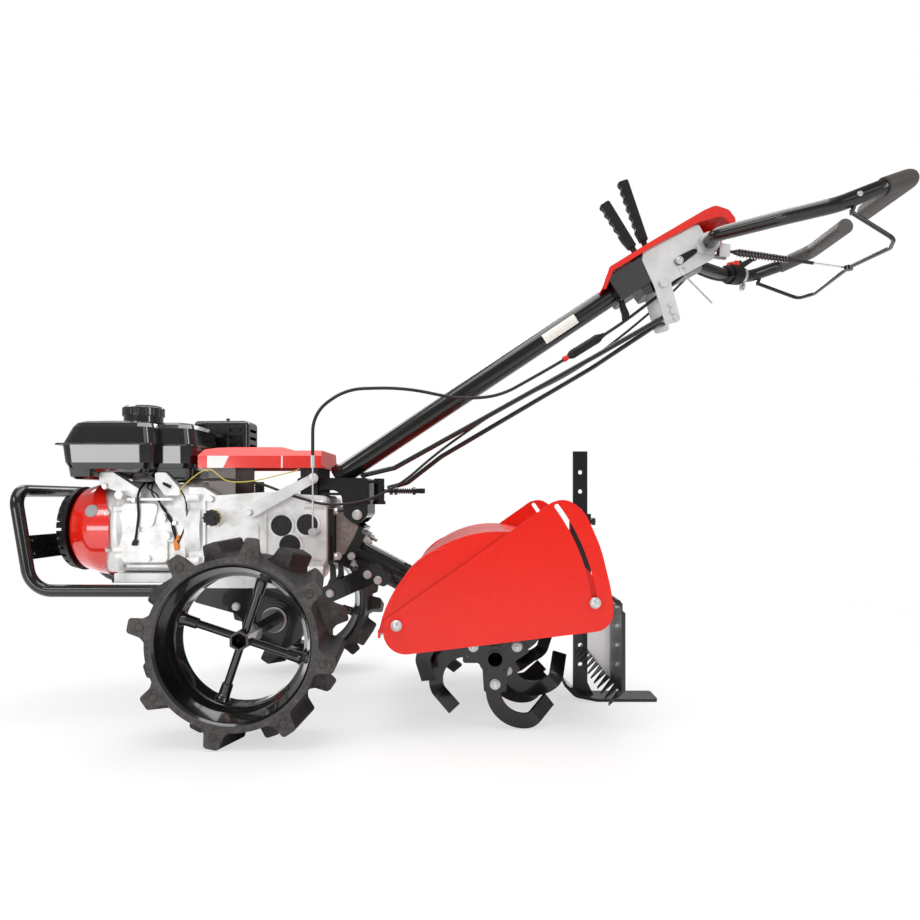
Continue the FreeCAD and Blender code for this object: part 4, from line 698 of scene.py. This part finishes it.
def rod_fittings():
    """Lock nuts and a spring on the short rod behind the bracket, and heads on its cross pin."""
    nuts = Piece("rod_nuts", "chassis", "black_paint")
    rod_z = 434
    for x in (-146, -136, -98):
        nuts.add(turned([(7.0, 0), (8.2, 0.8), (8.2, 6.2), (7.0, 7)], (x, 0, rod_z), BACK, 6))
    nuts.add(coil((-127, 0, rod_z), (-99, 0, rod_z), 5.4, 1.1, 6))
    for place, way in both_sides([(-78, 11, rod_z)]):
        nuts.add(turned([(5.6, 0), (5.6, 1.8), (4.6, 2.6)], place, way, 18))
    nuts.done()


def console_details():
    """Bolts through the console, the choke's drop-shaped lever, the cable's stop and boot, and the bail's wire."""
    bolts = Piece("console_bolts", "chassis", "zinc_steel")
    for middle, tall in (((492, 45, 927.5), 8.6), ((418, 45, 857), 5.4)):
        for place, way in both_sides([middle]):
            hexagon_bolt(bolts, place, way, 17, tall, 1.2)
    for x, z in ((431, 813), (441.3, 787.4)):
        hexagon_bolt(bolts, (x, -45, z), LEFT, 8, 3.2, 1.0)
    domed_bolt(bolts, (449.4, -51.5, 902.7), LEFT, 6.2, 3.6)
    domed_bolt(bolts, (459, -45, 885), LEFT, 4.4, 2.6)
    bolts.add(slab(rounded([(446, 893), (452, 890), (462, 877), (456, 874)], 2), -45, -47.2))
    bolts.add(tube([(462, -26, 884), (523, -26, 822)], 1.8))
    bolts.done()
    stop = Piece("cable_stop", "handlebars", "zinc_steel")
    for side in (-1, 1):
        stop.add(slab(rounded([(543, 924), (565, 922), (567, 949), (545, 951)], 3), 9.3 * side, 11.3 * side))
    stop.add(slab(rounded([(543, 946), (545, 951), (567, 949), (566, 944)], 1.2), -11, 11, 0.5))
    hexagon_bolt(stop, (720, -241.2, 962), (-0.19, -0.97, 0.17), 6.5, 2.6, 0.8)
    stop.done()
    drop = Piece("choke_lever", "chassis", "black_plastic")
    outline = [(442, 904), (446, 895), (455, 896), (483, 917), (487, 922), (483, 927), (476, 926), (446, 911)]
    drop.add(slab(rounded(outline, 4), -45.2, -51.5, 1.2)).done()
    start, end = BARS + (34, 0, -1), BARS + (296, 0, -37)
    way = unit(end - start)
    turns = 17
    wide = np.interp(np.linspace(0, 1, turns * COIL_STEPS + 1), [0, 0.06, 1], [5.0, 7.4, 6.0])
    boot = Piece("cable_boot", "handlebars", "black_rubber", "gloss_black")
    boot.add(coil(start + way * 36, start + way * 148, wide, 2.0, turns)).done()
    wire = Piece("bail_wire", "handlebars", "zinc_steel")
    wire.add(tube([start + way * 199, start + way * 230, end - way * 6], 1.9)).done()


def cable_fittings():
    """The adjuster in the clutch cable with its red lock, and the strap round the cables."""
    barrel = Piece("cable_adjuster", "chassis", "black_plastic")
    foot, head = np.array([229.0, -30.4, 712.5]), np.array([296.0, -26.0, 754.5])
    way = unit(head - foot)
    barrel.add(turned([(4.2, -6), (8.4, 2), (9.2, 6), (9.2, 66), (8.6, 70), (5.0, 78), (4.4, 84)], foot, way, 32))
    for along in (8, 14, 60, 65):
        barrel.add(turned([(9.1, -1.2), (9.9, 0), (9.1, 1.2)], foot + way * along, way, 32))
    strap = [(330, 838), (338, 839), (346, 815), (353, 800), (350, 786), (339, 786), (338, 800), (334, 812)]
    barrel.add(slab(rounded(strap, 3), -27, -15, 1.5))
    barrel.done()
    lock = Piece("adjuster_lock", "chassis", "red_plastic")
    lock.add(turned([(4.0, -17), (5.8, -16), (5.8, -9), (4.6, -7), (4.6, -4)], foot, way, 24)).done()


def throttle_details():
    """The throttle's rocker, thumb lever and clamp on the far bar."""
    base, way = BARS + (88, 172, 2), unit([82.0, 46.0, 7.0])
    x, y, z = base + way * 44 + (0, 0, 22)
    outline = [(x - 15, z - 5), (x - 13, z + 4), (x - 2, z + 3), (x + 6, z + 9), (x + 16, z + 7), (x + 16, z - 3)]
    rocker = Piece("throttle_rocker", "handlebars", "red_plastic")
    rocker.add(slab(rounded(outline, 2), y - 9, y + 7, 1.2)).done()
    x, y, z = base + way * 60 + (0, 0, 12)
    outline = [(x - 8, z - 10), (x + 14, z + 2), (x + 42, z + 22), (x + 50, z + 24), (x + 50, z + 30),
               (x + 34, z + 28), (x + 2, z + 12), (x - 8, z + 6)]
    lever = Piece("thumb_lever", "handlebars", "black_plastic")
    lever.add(slab(rounded(outline, 2.5), y - 7, y + 7, 1.4)).done()
    clamp = Piece("throttle_clamp", "handlebars", "zinc_steel")
    spot = base + way * 78
    clamp.add(turned([(15.0, -4.5), (17.6, -4.0), (18.2, 0), (17.6, 4.0), (15.0, 4.5)], spot, way, 36))
    x, y, z = low = spot + (0, 0, -18)
    clamp.add(turned([(3.2, 0), (3.2, 18), (2.4, 20)], low + (0, -7, 4), (0.1, -0.35, -1), 16))
    outline = [(x - 6, z + 4), (x + 6, z + 4), (x + 5, z - 18), (x - 4, z - 18)]
    clamp.add(slab(rounded(outline, 3), y - 9, y + 3))
    clamp.done()


def column_tag():
    """A plain pale tag bent round the column: distance along it, and an angle round it from its near side."""
    way = np.array([math.cos(COLUMN_RISE), 0.0, math.sin(COLUMN_RISE)])
    lift = np.array([-way[2], 0.0, way[0]])
    along = np.array([520.0, 520.0, 522, 560, 598, 600, 600])
    thick = np.array([0.05, 0.35, 0.4, 0.4, 0.4, 0.35, 0.05])
    turn = np.radians(np.linspace(-34, 24, 15))
    radius = COLUMN_RADIUS + thick[:, None] * np.ones_like(turn)
    ring = radius[..., None] * (np.sin(turn)[:, None] * lift + np.cos(turn)[:, None] * np.array(LEFT))
    top = COLUMN_FOOT + along[:, None, None] * way + ring
    inner_radius = COLUMN_RADIUS - 0.6
    inner = COLUMN_FOOT + along[::-1, None, None] * way + ring * (inner_radius / radius)[..., None]
    Piece("column_tag", "chassis", "red_plastic", "label_pale").add(
        np.concatenate([top, inner], axis=0).transpose(1, 0, 2)).done()


for make in (engine_fasteners, engine_leads, gearbox_details, gearbox_fasteners, hood_details, wheel_details,
             rod_fittings, console_details, cable_fittings, throttle_details, column_tag):
    make()


# ---------------------------------------------------------------- floor, light and camera, in metres
FLOOR_RINGS = [0.0, 1.0, 2.0, 4.0, 9.0]
FADE_MIDDLE, FADE_WIDTH = 1.7, 1.4      # where the floor turns into the white backdrop
FLOOR_LIFT = 0.62               # how much of that white the camera sees in the floor beside the machine
FILL_LEVEL, GLOSS_LEVEL = 0.46, 0.30    # the surroundings, as they light the machine and as gloss reflects them


def stage_floor():
    """A wide pale floor of rings that fades to the white backdrop away from the machine."""
    rings, turn = np.array(FLOOR_RINGS), round_turn(96)
    points = np.stack([np.outer(rings, np.cos(turn)), np.outer(rings, np.sin(turn)),
                       np.zeros((len(rings), len(turn)))], axis=-1)
    mesh = bpy.data.meshes.new("stage_floor")
    mesh.from_pydata(points.reshape(-1, 3).tolist(), [], closed_faces(len(rings), len(turn))[1])
    mesh.shade_smooth()
    f = Finish("stage_floor")
    x, y = f.axis("X"), f.axis("Y")
    far = ((x * x + y * y) ** 0.5).over(FADE_MIDDLE, FADE_WIDTH)
    seen = Value(f, f.node("ShaderNodeLightPath", {}).outputs["Is Camera Ray"])
    f.set(Base_Color=(0.93, 0.93, 0.93), Roughness=0.7, Specular_IOR_Level=0.1)
    glow = f.node("ShaderNodeEmission", {}, Color=WHITE, Strength=1.0)
    lift = (far + (1.0 - far) * FLOOR_LIFT) * seen
    mixed = f.node("ShaderNodeMixShader", {}, lift, f.shader.outputs[0], glow.outputs[0])
    f.feed(f.tree.nodes["Material Output"].inputs["Surface"], mixed.outputs[0])
    mesh.materials.append(f.material)
    floor = put_in_scene("stage_floor", mesh)


def studio_world():
    """White to the camera, and a soft grey fill on the object and in its reflections."""
    world = bpy.data.worlds.new("studio")
    bpy.context.scene.world = world
    world.use_nodes = True
    w = Nodes(world.node_tree)
    path = w.node("ShaderNodeLightPath", {})
    seen, through, gloss = (Value(w, path.outputs[kind]) for kind in ("Is Camera Ray", "Is Transmission Ray",
                                                                      "Is Glossy Ray"))
    fill = w.tree.nodes["Background"]
    w.feed(fill.inputs["Color"], WHITE)
    w.feed(fill.inputs["Strength"], gloss * (GLOSS_LEVEL - FILL_LEVEL) + FILL_LEVEL)
    bright = w.node("ShaderNodeBackground", {}, Color=WHITE, Strength=1.0)
    mixed = w.node("ShaderNodeMixShader", {}, seen.at_least(through), fill.outputs[0], bright.outputs[0])
    w.feed(w.tree.nodes["World Output"].inputs["Surface"], mixed.outputs[0])


def softbox(name, place, aim, size, power):
    """A soft rectangular lamp of size metres by metres and power watts, that looks from its place at its aim."""
    lamp = bpy.data.lights.new(name, "AREA")
    lamp.shape = "RECTANGLE"
    lamp.size, lamp.size_y = size
    lamp.energy = power
    made = put_in_scene(name, lamp)
    made.location = place
    away = made.location - type(made.location)(aim)
    made.rotation_euler = away.to_track_quat("Z", "Y").to_euler()


stage_floor()
studio_world()
softbox("overhead", (-0.2, 0.1, 2.7), (0.0, 0.0, 0.4), (3.2, 1.5), 54.0)
softbox("high_left", (-2.2, -1.9, 2.1), (-0.6, 0.0, 0.4), (1.4, 0.55), 17.0)
softbox("back_left", (-2.1, 1.8, 2.6), (-0.6, 0.0, 0.5), (1.6, 0.9), 20.0)
softbox("low_left", (-1.87, -2.5, 0.42), (-0.7, -0.1, 0.45), (1.3, 0.42), 11.0)
softbox("console_card", (1.15, -2.5, 1.62), (0.45, 0.0, 0.9), (1.2, 0.9), 4.0)
softbox("front_right", (2.3, -2.0, 1.5), (0.2, 0.0, 0.5), (0.4, 1.8), 15.0)
softbox("behind", (0.6, 2.6, 1.9), (0.0, 0.0, 0.5), (2.4, 0.7), 22.0)

camera_data = bpy.data.cameras.new("camera")
camera_data.lens = 29.8
camera_data.shift_x, camera_data.shift_y = -0.013, 0.0435
camera = put_in_scene("camera", camera_data)
camera.location = (0.027, -1.6, 0.415)
camera.rotation_euler = (math.pi / 2, 0, 0)
bpy.context.scene.camera = camera
bpy.context.scene.view_settings.view_transform = "Standard"
